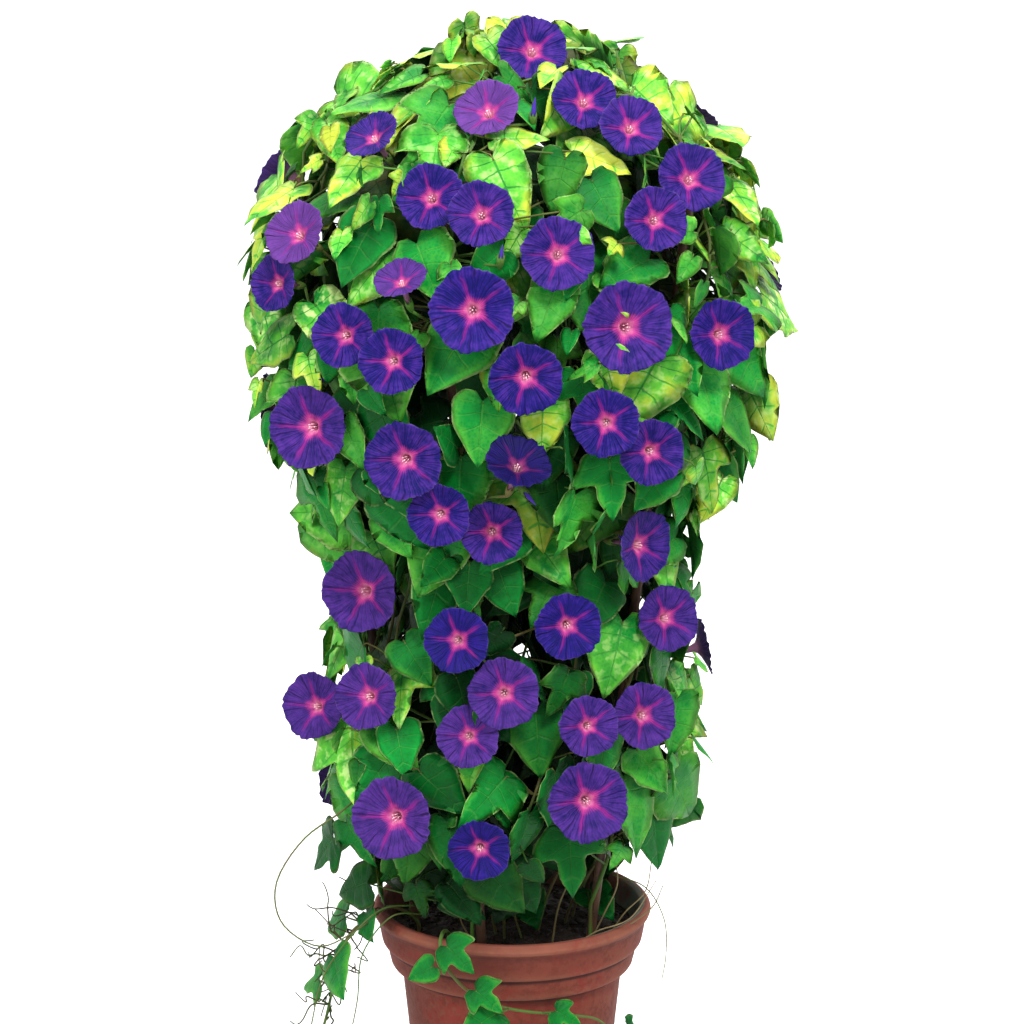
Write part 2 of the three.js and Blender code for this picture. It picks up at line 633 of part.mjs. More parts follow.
// A heading in the blade's plane that is seen from EYE in the given direction, in degrees.
function headingSeen(normal, centre, degrees) {
  const sight = centre.clone().sub(EYE).normalize();
  const right = sight.clone().cross(UP).normalize();
  const above = right.clone().cross(sight);
  const wanted = right.multiplyScalar(Math.cos(rad(degrees))).addScaledVector(above, Math.sin(rad(degrees)));
  // Slide the wanted direction along the line of sight until it lies in the plane.
  const slide = -wanted.dot(normal) / sight.dot(normal);
  return wanted.addScaledVector(sight, THREE.MathUtils.clamp(slide, -3, 3)).normalize();
}

function leafAt(centre, normal, headingHint, length, lobed) {
  const heading = headingHint.clone().addScaledVector(normal, -headingHint.dot(normal)).normalize();
  const root = along(centre, heading, -0.42 * length);
  return leafItem(root, heading, normal, length, lobed);
}

FRONT_LEAVES.forEach(([across, up, length, seen, lift, turn, lobed], i) => {
  const tries = [];
  for (const twist of LEAF_TWISTS) {
    for (const push of LEAF_PUSHES) {
      const centre = onCanopy(across, up, push);
      const facing = outward(centre, 0.05).add(EYE.clone().sub(centre).setZ(0).normalize()).normalize();
      const normal = aimed(facing, turn, lift);
      tries.push(() => leafAt(centre, normal, headingSeen(normal, centre, seen + twist), length, lobed));
    }
  }
  mustSettle(tries, `front leaf ${i + 1}`);
});

// Leaves of the trailing stems face away from the pot, to either side of the stem in turn.
TRAILS.forEach(({ name, leaves }, trail) => leaves.forEach(([share, length, hand]) => {
  const path = trailPaths[trail];
  const point = path[Math.round(share * (path.length - 1))];
  const away = vec(point.x, point.y, 0).normalize();
  const sideways = away.clone().cross(UP).multiplyScalar(hand);
  const socket = { point, node: name, uses: 0 };
  const tries = TRAIL_SPREADS.map((spread) => () => {
    const root = along(along(along(point, sideways, 12), away, spread), UP, 5);
    const heading = sideways.clone().multiplyScalar(0.7).addScaledVector(UP, -0.5).normalize();
    const normal = aimed(away, 0, 24);
    heading.addScaledVector(normal, -heading.dot(normal)).normalize();
    return leafItem(root, heading, normal, length, share % 0.2 > 0.1, socket);
  });
  mustSettle(tries, `a leaf of ${name}`);
}));

// The rest hang like shingles, tips down and faces up and outwards, on a golden-angle spiral.
let filled = 0;
const fillDraw = seeded(90210);
for (let i = 0; i < FILL_TRIES && filled < FILL_LEAVES; i++) {
  const share = ((i * 0.754877 + 0.5) % 1) ** FILL_CROWDING;
  const height = FILL_HEIGHTS[0] + (FILL_HEIGHTS[1] - FILL_HEIGHTS[0]) * share;
  const angle = i * GOLDEN_ANGLE;
  const length = fillDraw(...FILL_LENGTHS);
  const [depth, lift, turn, roll] = [fillDraw(-30, 6), fillDraw(14, 46), fillDraw(-24, 24), fillDraw(-45, 45)];
  const lobed = fillDraw(0, 1) < 0.25;
  const centre = polar(Math.max(canopyRadius(height) + depth, 6), angle, height);
  const normal = aimed(outward(centre, 0), turn, lift);
  const down = UP.clone().negate().addScaledVector(normal, normal.z).normalize();
  const heading = down.applyAxisAngle(normal, rad(roll));
  if (settle([() => leafAt(centre, normal, heading, length, lobed)])) filled += 1;
}

// ---- Solids -------------------------------------------------------------------------------------

// A blade and its petiole as one closed body. The petiole is three-sided, and its last ring is the two points
// of the notch and a keel point below them, so that it runs into the blade with no step.
function leafSolid({ root, heading, normal, length, lobed, stops, slant }) {
  const { at, loop } = bladePoints(root, heading, normal, length, lobed);
  const across = normal.clone().cross(heading);
  const count = loop.length;
  const [left, right, keel] = [0, count - 1, count + 4];
  const above = { rib1: count, rib2: count + 1 };
  const under = { rib1: count + 2, rib2: count + 3 };
  const t = BLADE_HALF_THICKNESS;
  const points = loop.map(([u, v]) => at(u, v));
  points.push(at(0.12, 0, t), at(0.5, 0, t), at(0.12, 0, -t), at(0.5, 0, -t));
  const keelway = heading.clone().multiplyScalar(Math.cos(slant)).addScaledVector(normal, -Math.sin(slant));
  points.push(along(root, keelway, 2 * PETIOLE_RADIUS));

  const faces = [];
  const bothFaces = (a, b, c) => {
    faces.push([above[a] ?? a, above[b] ?? b, above[c] ?? c], [under[a] ?? a, under[c] ?? c, under[b] ?? b]);
  };
  const turnAt = lobed ? 5 : 3;
  for (let k = 0; k < count - 1; k++) {
    const fromNotch = Math.min(k, count - 2 - k);
    bothFaces(fromNotch < turnAt ? 'rib1' : 'rib2', k + 1, k);
  }
  bothFaces('rib1', 'rib2', turnAt);
  bothFaces('rib1', count - 1 - turnAt, 'rib2');
  faces.push([above.rib1, left, right], [under.rib1, keel, left], [under.rib1, right, keel]);

  let ring = [left, keel, right];
  let beside = across;
  for (let i = stops.length - 2; i >= 0; i--) {
    const ahead = headingAt(stops, i);
    beside = beside.clone().addScaledVector(ahead, -beside.dot(ahead)).normalize();
    const below = beside.clone().cross(ahead);
    const first = points.length;
    const radius = i ? PETIOLE_RADIUS : ROOT_RADIUS;
    points.push(along(along(stops[i], beside, radius), below, -0.5 * radius));
    points.push(along(stops[i], below, radius));
    points.push(along(along(stops[i], beside, -radius), below, -0.5 * radius));
    const next = [first, first + 1, first + 2];
    for (let side = 0; side < 3; side++) {
      const other = (side + 1) % 3;
      faces.push([ring[side], ring[other], next[other]], [ring[side], next[other], next[side]]);
    }
    ring = next;
  }
  faces.push(ring);
  return solidOf(geometryOf(points, faces));
}

// A flower stalk that ends in a calyx with a flat top.
function stalkSolid({ socket, neck, calyx, axis }) {
  const radii = [ROOT_RADIUS, STALK_RADIUS, CALYX_RADIUS];
  return solidOf(tube([socket.point, neck, calyx], radii, 4, [null, null, axis]));
}

// A funnel with five shallow lobes, thin at its edge, on a slim tube with a flat end. The tube of a flower that
// is one body with its stem runs on into the calyx.
function bloomSolid({ centre, axis, side, radius, length, front }) {
  const other = axis.clone().cross(side);
  const ring = (reach, back, lobes) => Array.from({ length: BLOOM_SIDES }, (_, k) => {
    const angle = 2 * Math.PI * k / BLOOM_SIDES;
    const spoke = side.clone().multiplyScalar(Math.cos(angle)).addScaledVector(other, Math.sin(angle));
    return along(along(centre, axis, -back), spoke, reach * (1 + (k % 2 ? -lobes : lobes)));
  });
  const throatDepth = BLOOM_DEPTH * radius;
  const points = [
    ...ring(TUBE_RADIUS, front ? length : length + TUBE_SUNK, 0),
    ...ring(THROAT * radius, throatDepth, 0),
    ...ring(radius, 0, LOBE_DEPTH),
    along(centre, axis, -throatDepth + THROAT_THICKNESS),
  ];
  const [waist, rim, throat] = [BLOOM_SIDES, 2 * BLOOM_SIDES, 3 * BLOOM_SIDES];
  const faces = [];
  for (let k = 0; k < BLOOM_SIDES; k++) {
    const next = (k + 1) % BLOOM_SIDES;
    faces.push([k, next, waist + next], [k, waist + next, waist + k]);
    faces.push([waist + k, waist + next, rim + next], [waist + k, rim + next, rim + k]);
    faces.push([rim + k, rim + next, throat]);
    if (k > 0 && k < BLOOM_SIDES - 1) faces.push([0, k + 1, k]);
  }
  return solidOf(geometryOf(points, faces));
}

function potSolid() {
  const profile = [[0, 0], ...POT_WALL, [0, FLOOR_THICKNESS]].map(([r, z]) => new THREE.Vector2(r, z));
  const lathe = new THREE.LatheGeometry(profile, POT_SIDES).rotateX(Math.PI / 2);
  const drains = Array.from({ length: DRAINS }, (_, i) => {
    const place = polar(DRAIN_CIRCLE, 2 * Math.PI * (i + 0.4) / DRAINS, 0);
    return solidOf(bar(place.clone().setZ(-5), place.clone().setZ(FLOOR_THICKNESS + 5), DRAIN_RADIUS, 8));
  });
  return drains.reduce((pot, hole) => pot.subtract(hole), solidOf(lathe));
}

function soilSolid(holes) {
  const fitted = (radius, height) => [(radius - 2 * GAP) * Math.cos(Math.PI / POT_SIDES), height];
  const low = FLOOR_THICKNESS + GAP;
  const wall = [fitted(72, low), ...POT_INNER.slice(1, -1).toReversed().map(([r, z]) => fitted(r, z))];
  const top = SOIL_RINGS.toReversed().map((r) => {
    const mound = SOIL_MOUND * (1 - (r / 118) ** 2);
    return [r, SOIL_TOP + mound * (0.8 + 0.2 * Math.cos(r / 9))];
  });
  const profile = [[0, low], ...wall, ...top].map(([r, z]) => new THREE.Vector2(r, z));
  const lathe = new THREE.LatheGeometry(profile, POT_SIDES).rotateX(Math.PI / 2);
  return holes.reduce((soil, hole) => soil.subtract(hole), solidOf(lathe));
}

// ---- Assembly -----------------------------------------------------------------------------------

const group = new THREE.Group();
const holeRadius = STEM_RADIUS + 0.8;
const holes = [
  ...canes.map(({ foot, head }) => {
    const lean = head.clone().sub(foot).normalize();
    return solidOf(bar(along(foot, lean, -GAP), along(foot, lean, CANE_SUNK + 60), CANE_RADIUS + GAP, 8));
  }),
  ...[...stems, ...trailPaths].map(([root]) => {
    return solidOf(bar(along(root, UP, -GAP), along(root, UP, 60), holeRadius, 8));
  }),
];
group.add(meshOf('pot', potSolid(), terracotta));
group.add(meshOf('soil', soilSolid(holes), soilBrown));
canes.forEach(({ foot, head }, i) => {
  group.add(meshOf(`cane_${i + 1}`, solidOf(bar(foot, head, CANE_RADIUS, 8)), cane));
});

const blooms = placed.filter(({ kind }) => kind === 'bloom');
const leaves = placed.filter(({ kind }) => kind === 'leaf');

// A stem with its own leaves and flower stalks, and with those of its flowers that have no node of their own.
function leafyStem(path, node) {
  const own = ({ socket }) => socket.node === node;
  const radii = path.map((_, i) => STEM_RADIUS * (i > path.length - 4 ? 0.8 : 1));
  return joined([
    solidOf(tube(path, radii, STEM_SIDES)),
    ...leaves.filter(own).map(leafSolid),
    ...blooms.filter(own).map(stalkSolid),
    ...blooms.filter((bloom) => own(bloom) && !bloom.front).map(bloomSolid),
  ]);
}

stems.forEach((path, vine) => {
  group.add(meshOf(`vine_${vine + 1}`, leafyStem(path, `vine_${vine + 1}`), foliage));
});
TRAILS.forEach(({ name }, trail) => {
  group.add(meshOf(name, leafyStem(trailPaths[trail], name), foliage));
});
blooms.filter(({ front }) => front).forEach((bloom, i) => {
  group.add(meshOf(`bloom_${i + 1}`, bloomSolid(bloom), petal));
});

export default group;
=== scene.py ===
"""Dresses a morning glory vine and its terracotta pot: leaves, flowers, stems, pot, soil and studio."""
import math
from functools import lru_cache
from types import SimpleNamespace

import bpy
import numpy as np
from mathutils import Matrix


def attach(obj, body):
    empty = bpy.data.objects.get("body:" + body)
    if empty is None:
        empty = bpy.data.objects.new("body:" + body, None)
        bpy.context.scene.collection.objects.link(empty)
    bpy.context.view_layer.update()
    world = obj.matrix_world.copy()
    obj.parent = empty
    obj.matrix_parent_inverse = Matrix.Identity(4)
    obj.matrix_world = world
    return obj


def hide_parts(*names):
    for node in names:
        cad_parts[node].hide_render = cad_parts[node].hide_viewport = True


bl_info = {
    "name": "Morning Glory in a Pot",
    "version": (1, 0, 0),
    "blender": (4, 5, 0),
    "location": "3D View > Sidebar > Morning Glory",
    "description": "Makes the leaves, flowers, stems, pot, soil and studio of a potted morning glory",
    "category": "Add Mesh",
}

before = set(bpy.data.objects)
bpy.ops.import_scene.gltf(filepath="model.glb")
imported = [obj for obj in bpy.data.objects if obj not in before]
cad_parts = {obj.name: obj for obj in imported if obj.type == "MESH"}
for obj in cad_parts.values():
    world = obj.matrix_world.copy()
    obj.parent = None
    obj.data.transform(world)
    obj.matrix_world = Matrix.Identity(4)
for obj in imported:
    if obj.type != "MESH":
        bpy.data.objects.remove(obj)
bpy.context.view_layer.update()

# ---- Plan of the plant, in millimetres ----------------------------------------------------------

MM = 0.001
GAP = 0.3
UP = np.array([0.0, 0.0, 1.0])
POT_SIDES = 24
SOIL_TOP = 226

CANES = 5
CANE_RADIUS = 5
CANE_FOOT = (96, SOIL_TOP)
CANE_HEAD = (205, 985)
CANE_SUNK = 90

STEM_RADIUS = 2.1
STEM_HELIX = 7.9
STEM_PITCH = 200
STEM_STEPS = 8
STEM_SUNK = 26
TWINE_START = 268
STEM_TIP = ((200, 1012), (184, 1038), (160, 1058), (128, 1074), (92, 1084), (52, 1090))

# The canopy's surface, a round head over a narrower column: height, radius.
CANOPY = np.array([
    (262, 118), (300, 150), (360, 172), (430, 180), (520, 174), (600, 166), (650, 176), (700, 216), (760, 240),
    (860, 246), (940, 240), (1000, 216), (1050, 176), (1090, 122), (1115, 66), (1128, 0),
], float)
POT_GUARD = ((84, 0), (106, 115), (113, 180), (124, 184), (132, 206), (141, 236), (141, 246), (134, 252), (124, 244),
             (0, 236))
EYE = np.array([0.0, -3800.0, 1600.0])

BLOOM_SIDES = 10
BLOOM_PROUD = 26
BLOOM_DEPTH = 0.3
BLOOM_TUBE = 0.95
THROAT = 0.17
CALYX_LENGTH = 12
CALYX_RADIUS = 3.9
THREAD_RADIUS = 0.3
PETIOLE_RADIUS = 1.3
KNEE_LENGTH = 10
KNEE_SLANT = math.radians(35)
STRAIGHT_SLANTS = (math.radians(14), math.radians(100))
STRAIGHT_ENOUGH = 0.45

# Half outlines of a blade from the notch to just before the tip, as shares of its length.
HEART = ((-0.15, 0.12), (-0.15, 0.33), (0.03, 0.48), (0.34, 0.45), (0.68, 0.25))
LOBED = ((-0.14, 0.12), (-0.13, 0.34), (0.06, 0.5), (0.4, 0.6), (0.38, 0.26), (0.66, 0.2))

# Flowers of the front: across, up, diameter, turn, lift.
FRONT_BLOOMS = (
    (20, 1111, 66, 0, 0), (-25, 1053, 62, -16, 10), (70, 1062, 61, 0, 0), (115, 1036, 60, 0, 0),
    (-136, 1028, 54, -24, 16), (174, 986, 66, 0, 0), (-79, 967, 62, 0, 0), (140, 945, 60, 0, 0),
    (-30, 950, 61, 0, 0), (-211, 932, 62, -10, 8), (-232, 882, 54, -12, 0), (45, 911, 68, 0, 0),
    (-109, 887, 50, -14, 42), (-39, 855, 78, 0, 0), (114, 838, 84, 0, 0), (206, 831, 66, 0, 0),
    (-165, 830, 60, 0, 0), (-118, 804, 61, 0, 0), (14, 786, 68, 0, -12), (-201, 738, 78, 0, 0),
    (92, 742, 63, -12, 0), (138, 713, 62, 0, 0), (-107, 704, 73, 0, 0), (7, 704, 62, 20, 48),
    (-72, 649, 59, 0, 0), (-20, 631, 59, 0, 0), (132, 618, 68, 27, 0), (-151, 571, 79, 0, 0),
    (56, 535, 64, 0, -8), (156, 544, 64, 0, 0), (-55, 521, 62, 0, 0), (-199, 453, 66, 12, 0),
    (-146, 463, 64, 0, 0), (-8, 466, 68, 0, 0), (-44, 421, 60, 0, 0), (77, 432, 58, 0, 0),
    (133, 443, 64, 0, 0), (77, 352, 78, 0, 0), (-121, 335, 80, 0, 0), (-33, 301, 60, 0, -6),
)
BACK_BLOOMS = 26
BACK_ARC = (12, 168)
BACK_HEIGHTS = (310, 1075)

# Leaves that mark the front: across, up, length, heading, lift, turn, lobed, and yellowness from 0 to 1.
FRONT_LEAVES = (
    (-31, 736, 62, -95, 12, 0, 0, .46), (23, 660, 84, -80, 10, 0, 1, .72), (-60, 812, 76, -110, 24, -10, 0, .42),
    (30, 738, 52, -90, 6, 10, 0, .68), (76, 872, 84, -60, 20, 10, 0, .45), (88, 962, 56, -60, 18, 0, 0, .42),
    (-84, 897, 62, -70, 20, -15, 0, .45), (-150, 915, 66, -120, 18, -10, 0, .3),
    (-236, 820, 60, -150, 34, -20, 0, .66), (-196, 790, 42, -80, 8, -10, 1, .92),
    (-232, 962, 64, -150, 52, -25, 0, .76), (-141, 1060, 66, -166, 46, -20, 0, .55),
    (-160, 985, 58, -130, 30, -20, 0, .76), (-62, 1096, 56, 175, 62, 0, 0, .86), (108, 1120, 54, 20, 66, 15, 0, .7),
    (62, 1112, 46, 60, 58, 0, 0, .66), (208, 1030, 58, -25, 56, 25, 0, .76), (222, 966, 62, -50, 40, 25, 0, .8),
    (262, 858, 84, -35, 30, 30, 0, .73), (82, 1004, 60, -15, 40, 0, 0, .96), (6, 1024, 52, 5, 44, 0, 0, .86),
    (222, 742, 58, -60, 30, 25, 0, .5), (194, 688, 66, -75, 14, 15, 1, .7), (98, 678, 62, -85, 4, 0, 1, .4),
    (-131, 612, 54, -70, 26, -10, 0, .6), (-168, 672, 58, -100, 24, -20, 0, .56), (-44, 577, 50, -95, 22, 0, 0, .25),
    (-6, 574, 50, -70, 20, 5, 0, .28), (104, 506, 76, -100, 6, 10, 0, .55), (-96, 500, 50, -60, 16, 0, 0, .42),
    (-172, 512, 58, -120, 24, -20, 0, .6), (-160, 394, 84, -90, 26, -10, 1, .6), (-112, 408, 50, -80, 14, 0, 0, .3),
    (26, 418, 66, -85, 12, 0, 0, .42), (-104, 302, 64, -100, 16, 0, 0, .5), (60, 290, 66, -85, 14, 10, 1, .35),
    (-10, 262, 60, -50, 14, 0, 0, .45), (146, 318, 66, -80, 12, 20, 0, .28), (140, 388, 60, -50, 22, 20, 0, .5),
    (184, 470, 40, -60, 8, 20, 0, .68), (-160, 262, 52, -160, 22, -20, 0, .4), (-190, 300, 54, -125, 20, -25, 1, .3),
)
FILL_LEAVES = 77
FILL_TRIES = 620
FILL_HEIGHTS = (285, 1124)
FILL_CROWDING = 0.75
FILL_LENGTHS = (48, 74)
TRAIL_STEPS = 22

BLOOM_PUSHES = (0, 14, -12, 26, 38, 50)
BLOOM_AIMS = ((0, 0), (9, 0), (-9, 0), (0, 12), (0, -10), (16, 8), (-16, 8))
LEAF_PUSHES = (0, -12, 12, -24, 24, -38, 38)
LEAF_TWISTS = (0, 12, -12, 24, -24)
TRAIL_SPREADS = (10, 15, 20, 6, 26)
SKIN_CLEARANCE = 1
BAR_CLEARANCE = 0.5
BAR_SAMPLES = 24
STRUT_RISE = 0.45
SOCKET_WEAR = 22
CANE_SIDE_COST = 90

# Stems that trail over the rim: points, and leaves as share of the stem, length, side.
TRAILS = {
    "trail_front": (
        ((-62, -84, 206), (-62, -84, 222), (-62, -84, 238), (-64, -104, 253), (-68, -124, 258.6), (-70, -138, 252),
         (-66, -147, 236), (-54, -147, 218), (-38, -142, 201), (-16, -136, 188), (8, -130, 180), (34, -122, 174),
         (60, -109, 167), (84, -91, 156), (100, -74, 136)),
        ((0.38, 40, -1), (0.45, 30, 1), (0.56, 36, -1), (0.7, 44, 1), (0.78, 30, -1), (0.86, 32, 1), (1, 26, -1)),
    ),
    "trail_left": (
        ((-94, -36, 206), (-94, -36, 222), (-94, -36, 238), (-112, -44, 255), (-124, -50, 259), (-138, -57, 252),
         (-158, -66, 240), (-172, -74, 216), (-178, -80, 186), (-186, -86, 152), (-196, -90, 120), (-204, -92, 96)),
        ((0.4, 38, -1), (0.5, 46, 1), (0.62, 54, -1), (0.74, 38, 1), (0.86, 42, -1), (0.95, 34, 1), (1, 30, -1)),
    ),
}
GOLDEN_ANGLE = math.pi * (3 - math.sqrt(5))


# ---- Small helpers ------------------------------------------------------------------------------

def unit(v):
    """v over its length, along the last axis."""
    return v / np.linalg.norm(v, axis=-1, keepdims=True)


def fields(items, *keys):
    """Arrays of the items' values, one array for each key."""
    return [np.array([getattr(item, key) for item in items], float) for key in keys]


def polar(reach, angle, height):
    """Point at a distance and angle about the upright axis."""
    return np.stack(np.broadcast_arrays(reach * np.cos(angle), reach * np.sin(angle), height), -1).astype(float)


def turned(v, axis, degrees):
    """v turned about a unit axis: its part along the axis stays, the rest goes round by cosine and sine."""
    c, s = math.cos(math.radians(degrees)), math.sin(math.radians(degrees))
    return v * c + np.cross(axis, v) * s + axis * (axis @ v) * (1 - c)


def seeded(seed):
    """Draws between two numbers from a linear congruential generator."""
    state = seed

    def draw(low, high):
        nonlocal state
        state = (state * 1664525 + 1013904223) % 4294967296
        return low + (high - low) * state / 4294967296
    return draw


def canopy_radius(height):
    """Straight lines through the canopy's table."""
    return np.interp(height, CANOPY[:, 0], CANOPY[:, 1])


def centripetal(points, steps):
    """Points of a centripetal Catmull-Rom curve: cubics whose knots are spaced by the root of the distances."""
    points = np.array(points, float)
    ends = [2 * points[0] - points[1]], [2 * points[-1] - points[-2]]
    held = np.concatenate([ends[0], points, ends[1]])
    spot = np.arange(steps + 1) / steps * (len(points) - 1)
    k = np.minimum(spot.astype(int), len(points) - 2)
    w = (spot - k)[:, None]
    p0, p1, p2, p3 = held[k], held[k + 1], held[k + 2], held[k + 3]
    d0, d1, d2 = (np.sum((b - a) ** 2, 1, keepdims=True) ** 0.25 for a, b in ((p0, p1), (p1, p2), (p2, p3)))
    t1 = ((p1 - p0) / d0 - (p2 - p0) / (d0 + d1) + (p2 - p1) / d1) * d1
    t2 = ((p2 - p1) / d1 - (p3 - p1) / (d1 + d2) + (p3 - p2) / d2) * d1
    return p1 + t1 * w + (3 * p2 - 3 * p1 - 2 * t1 - t2) * w ** 2 + (2 * p1 - 2 * p2 + t1 + t2) * w ** 3


# ---- Keeping leaves and flowers clear of each other ---------------------------------------------

def pierced(lines, faces):
    """True if any line (n, 2, 3) passes through any triangle (m, 3, 3), by solving for where it meets the plane."""
    if not len(lines) or not len(faces):
        return False
    start, ray = lines[:, None, 0], (lines[:, 1] - lines[:, 0])[:, None]
    edge1, edge2 = faces[:, 1] - faces[:, 0], faces[:, 2] - faces[:, 0]
    h = np.cross(ray, edge2[None])
    det = np.sum(edge1 * h, -1)
    det = np.where(np.abs(det) < 1e-9, np.nan, det)
    s = start - faces[:, 0]
    u = np.sum(s * h, -1) / det
    k = np.cross(s, edge1[None])
    v = np.sum(ray * k, -1) / det
    t = np.sum(edge2 * k, -1) / det
    with np.errstate(invalid="ignore"):
        return bool(np.any((u >= 0) & (u <= 1) & (v >= 0) & (u + v <= 1) & (t >= 0) & (t <= 1)))


def bars_touch(mine, theirs):
    """True if any two bars of different owners come too near, from samples along the first of each pair."""
    if not len(mine.a) or not len(theirs.a):
        return False
    share = np.arange(BAR_SAMPLES + 1)[:, None] / BAR_SAMPLES
    points = mine.a[:, None] + (mine.b - mine.a)[:, None] * share
    run = theirs.b - theirs.a
    offset = points[:, :, None] - theirs.a
    reach = np.clip(np.sum(offset * run, -1) / np.sum(run * run, -1), 0, 1)
    distance = np.linalg.norm(offset - reach[..., None] * run, axis=-1).min(1)
    limit = mine.radius[:, None] + theirs.radius[None] + BAR_CLEARANCE
    return bool(np.any((distance < limit) & (mine.owner[:, None] != theirs.owner[None])))


def bar_set(bars):
    """Bars as arrays, from (start, end, radius, owner)."""
    if not bars:
        return SimpleNamespace(a=np.zeros((0, 3)), b=np.zeros((0, 3)), radius=np.zeros(0), owner=np.zeros(0, int))
    a, b, radius, owner = zip(*bars)
    return SimpleNamespace(a=np.array(a), b=np.array(b), radius=np.array(radius), owner=np.array(owner))


def skin_lines(a, b, radius):
    """Four lines along a bar's skin, a little outside it."""
    ahead = unit(b - a)
    side = unit(np.cross(ahead, UP if abs(ahead[2]) < 0.9 else np.array([1.0, 0, 0])))
    other = np.cross(ahead, side)
    shifts = np.array([side, -side, other, -other]) * (radius + SKIN_CLEARANCE)
    return np.stack([a + shifts, b + shifts], 1)


def bounded(item, bars):
    """Adds the middle of an item's points and how far the furthest lies from it."""
    item.bars = bar_set(bars)
    points = np.concatenate([item.faces.reshape(-1, 3), item.bars.a, item.bars.b])
    item.middle = (points.min(0) + points.max(0)) / 2
    item.span = np.linalg.norm(points - item.middle, axis=1).max()
    return item


class Placed:
    """Items placed so far. Each has faces, edges grown a little, bars, and sights that no leaf may cross."""

    def __init__(self):
        self.items = []
        self.middles = np.zeros((0, 3))
        self.spans = np.zeros(0)

    def add(self, item):
        self.items.append(item)
        self.middles = np.vstack([self.middles, item.middle])
        self.spans = np.append(self.spans, item.span)

    def clear(self, item):
        """True if the item neither pierces nor touches any other."""
        near = np.linalg.norm(self.middles - item.middle, axis=1) <= item.span + self.spans
        others = [self.items[i] for i in np.flatnonzero(near)]
        if not others:
            return True
        faces = np.concatenate([o.faces for o in others])
        edges = np.concatenate([o.edges for o in others])
        if pierced(item.edges, faces) or pierced(edges, item.faces):
            return False
        if item.kind == "leaf" and pierced(np.concatenate([o.sights for o in others]), item.faces):
            return False
        theirs = SimpleNamespace(**{
            key: np.concatenate([getattr(o.bars, key) for o in others]) for key in ("a", "b", "radius", "owner")
        })
        return not bars_touch(item.bars, theirs)

    def settle(self, tries):
        """Places the first of several tries that is clear, and returns it."""
        for make in tries:
            item = make()
            if self.clear(item):
                self.add(item)
                if item.socket.index is not None:
                    SOCKETS.uses[item.socket.index] += 1
                return item
        return None


NONE = np.zeros((0, 2, 3))


# ---- Canes and stems ----------------------------------------------------------------------------

def cane_angle(index):
    return math.pi + 2 * math.pi * index / CANES


def cane_point(index, height):
    """Point of a straight cane that leans outwards, at a height."""
    share = (height - CANE_FOOT[1]) / (CANE_HEAD[1] - CANE_FOOT[1])
    return polar(CANE_FOOT[0] + share * (CANE_HEAD[0] - CANE_FOOT[0]), cane_angle(index), height)


def stem_path(index, steps=STEM_STEPS):
    """A stem's root, its right-handed helix round the cane, and its free tip over the head."""
    angle, start = cane_angle(index), -math.pi / 2
    count = int((CANE_HEAD[1] - TWINE_START) / (STEM_PITCH / STEM_STEPS)) * steps // STEM_STEPS
    k = np.arange(count + 1)
    heights = TWINE_START + k * STEM_PITCH / steps
    helix = cane_point(index, heights) + polar(STEM_HELIX, angle + start + 2 * math.pi * k / steps, 0)
    root = helix[0, :2]
    feet = [[*root, SOIL_TOP - STEM_SUNK], [*root, SOIL_TOP + 20]]
    tips = [polar(reach, angle + 0.06 + 0.02 * i, height) for i, (reach, height) in enumerate(STEM_TIP)]
    return np.concatenate([feet, helix, tips])


STEMS = [stem_path(i) for i in range(CANES)]
TRAIL_PATHS = {name: centripetal(path, TRAIL_STEPS) for name, (path, _) in TRAILS.items()}
OWNERS = {f"vine_{i + 1}": i for i in range(CANES)} | {name: 10 + i for i, name in enumerate(TRAILS)}


def make_sockets():
    """Points of the stems that a strut may leave from without meeting the cane, two in each straight piece."""
    points, off_cane, vines = [], [], []
    for vine, path in enumerate(STEMS):
        a, b = path[2:-1, None], path[3:, None]
        found = (a + (b - a) * np.array([0.3, 0.7])[:, None]).reshape(-1, 3)
        off = found - cane_point(vine, found[:, 2])
        off[:, 2] = 0
        free = found[:, 2] > CANE_HEAD[1]
        off[free] = np.nan
        keep = free | (off @ polar(1, cane_angle(vine), 0) > -0.3 * STEM_HELIX)
        points.append(found[keep])
        off_cane.append(off[keep])
        vines += [vine] * keep.sum()
    points, off_cane = np.concatenate(points), np.concatenate(off_cane)
    return SimpleNamespace(points=points, off_cane=off_cane, vines=np.array(vines), uses=np.zeros(len(points)))


SOCKETS = make_sockets()


def socket_for(target):
    """The socket with the least of: run, how far the rise is from the usual, its uses so far, and a cane in the way.
    """
    flat = (target - SOCKETS.points) * (1, 1, 0)
    run = np.linalg.norm(flat, axis=1)
    rise = target[2] - SOCKETS.points[:, 2]
    off = np.sum(flat * SOCKETS.off_cane, 1) / (run * STEM_HELIX)
    cost = run + 0.7 * np.abs(rise - STRUT_RISE * run - 12) + SOCKET_WEAR * SOCKETS.uses
    with np.errstate(invalid="ignore"):
        cost += np.where(off < 0.25, CANE_SIDE_COST, 0)
    best = int(np.argmin(cost))
    return SimpleNamespace(point=SOCKETS.points[best], node=f"vine_{SOCKETS.vines[best] + 1}", index=best)


def step_from(socket, end):
    """A little way from a socket towards the far end of its strut."""
    return socket.point + unit(end - socket.point) * 4


# ---- Where flowers and leaves go ----------------------------------------------------------------

@lru_cache(maxsize=None)
def on_canopy(across, up, proud):
    """Where the line of sight through (across, up) first comes within the grown canopy, or passes nearest."""
    ray = unit(np.array([across, 0, up]) - EYE)
    points = EYE + ray * np.arange(3400, 4300, 4)[:, None]
    gaps = np.hypot(points[:, 0], points[:, 1]) - canopy_radius(points[:, 2]) - proud
    nearest, chosen = math.inf, 0
    for i, gap in enumerate(gaps.tolist()):
        if gap < nearest - 0.5:
            nearest, chosen = gap, i
        if gap <= 0:
            break
    return points[chosen]


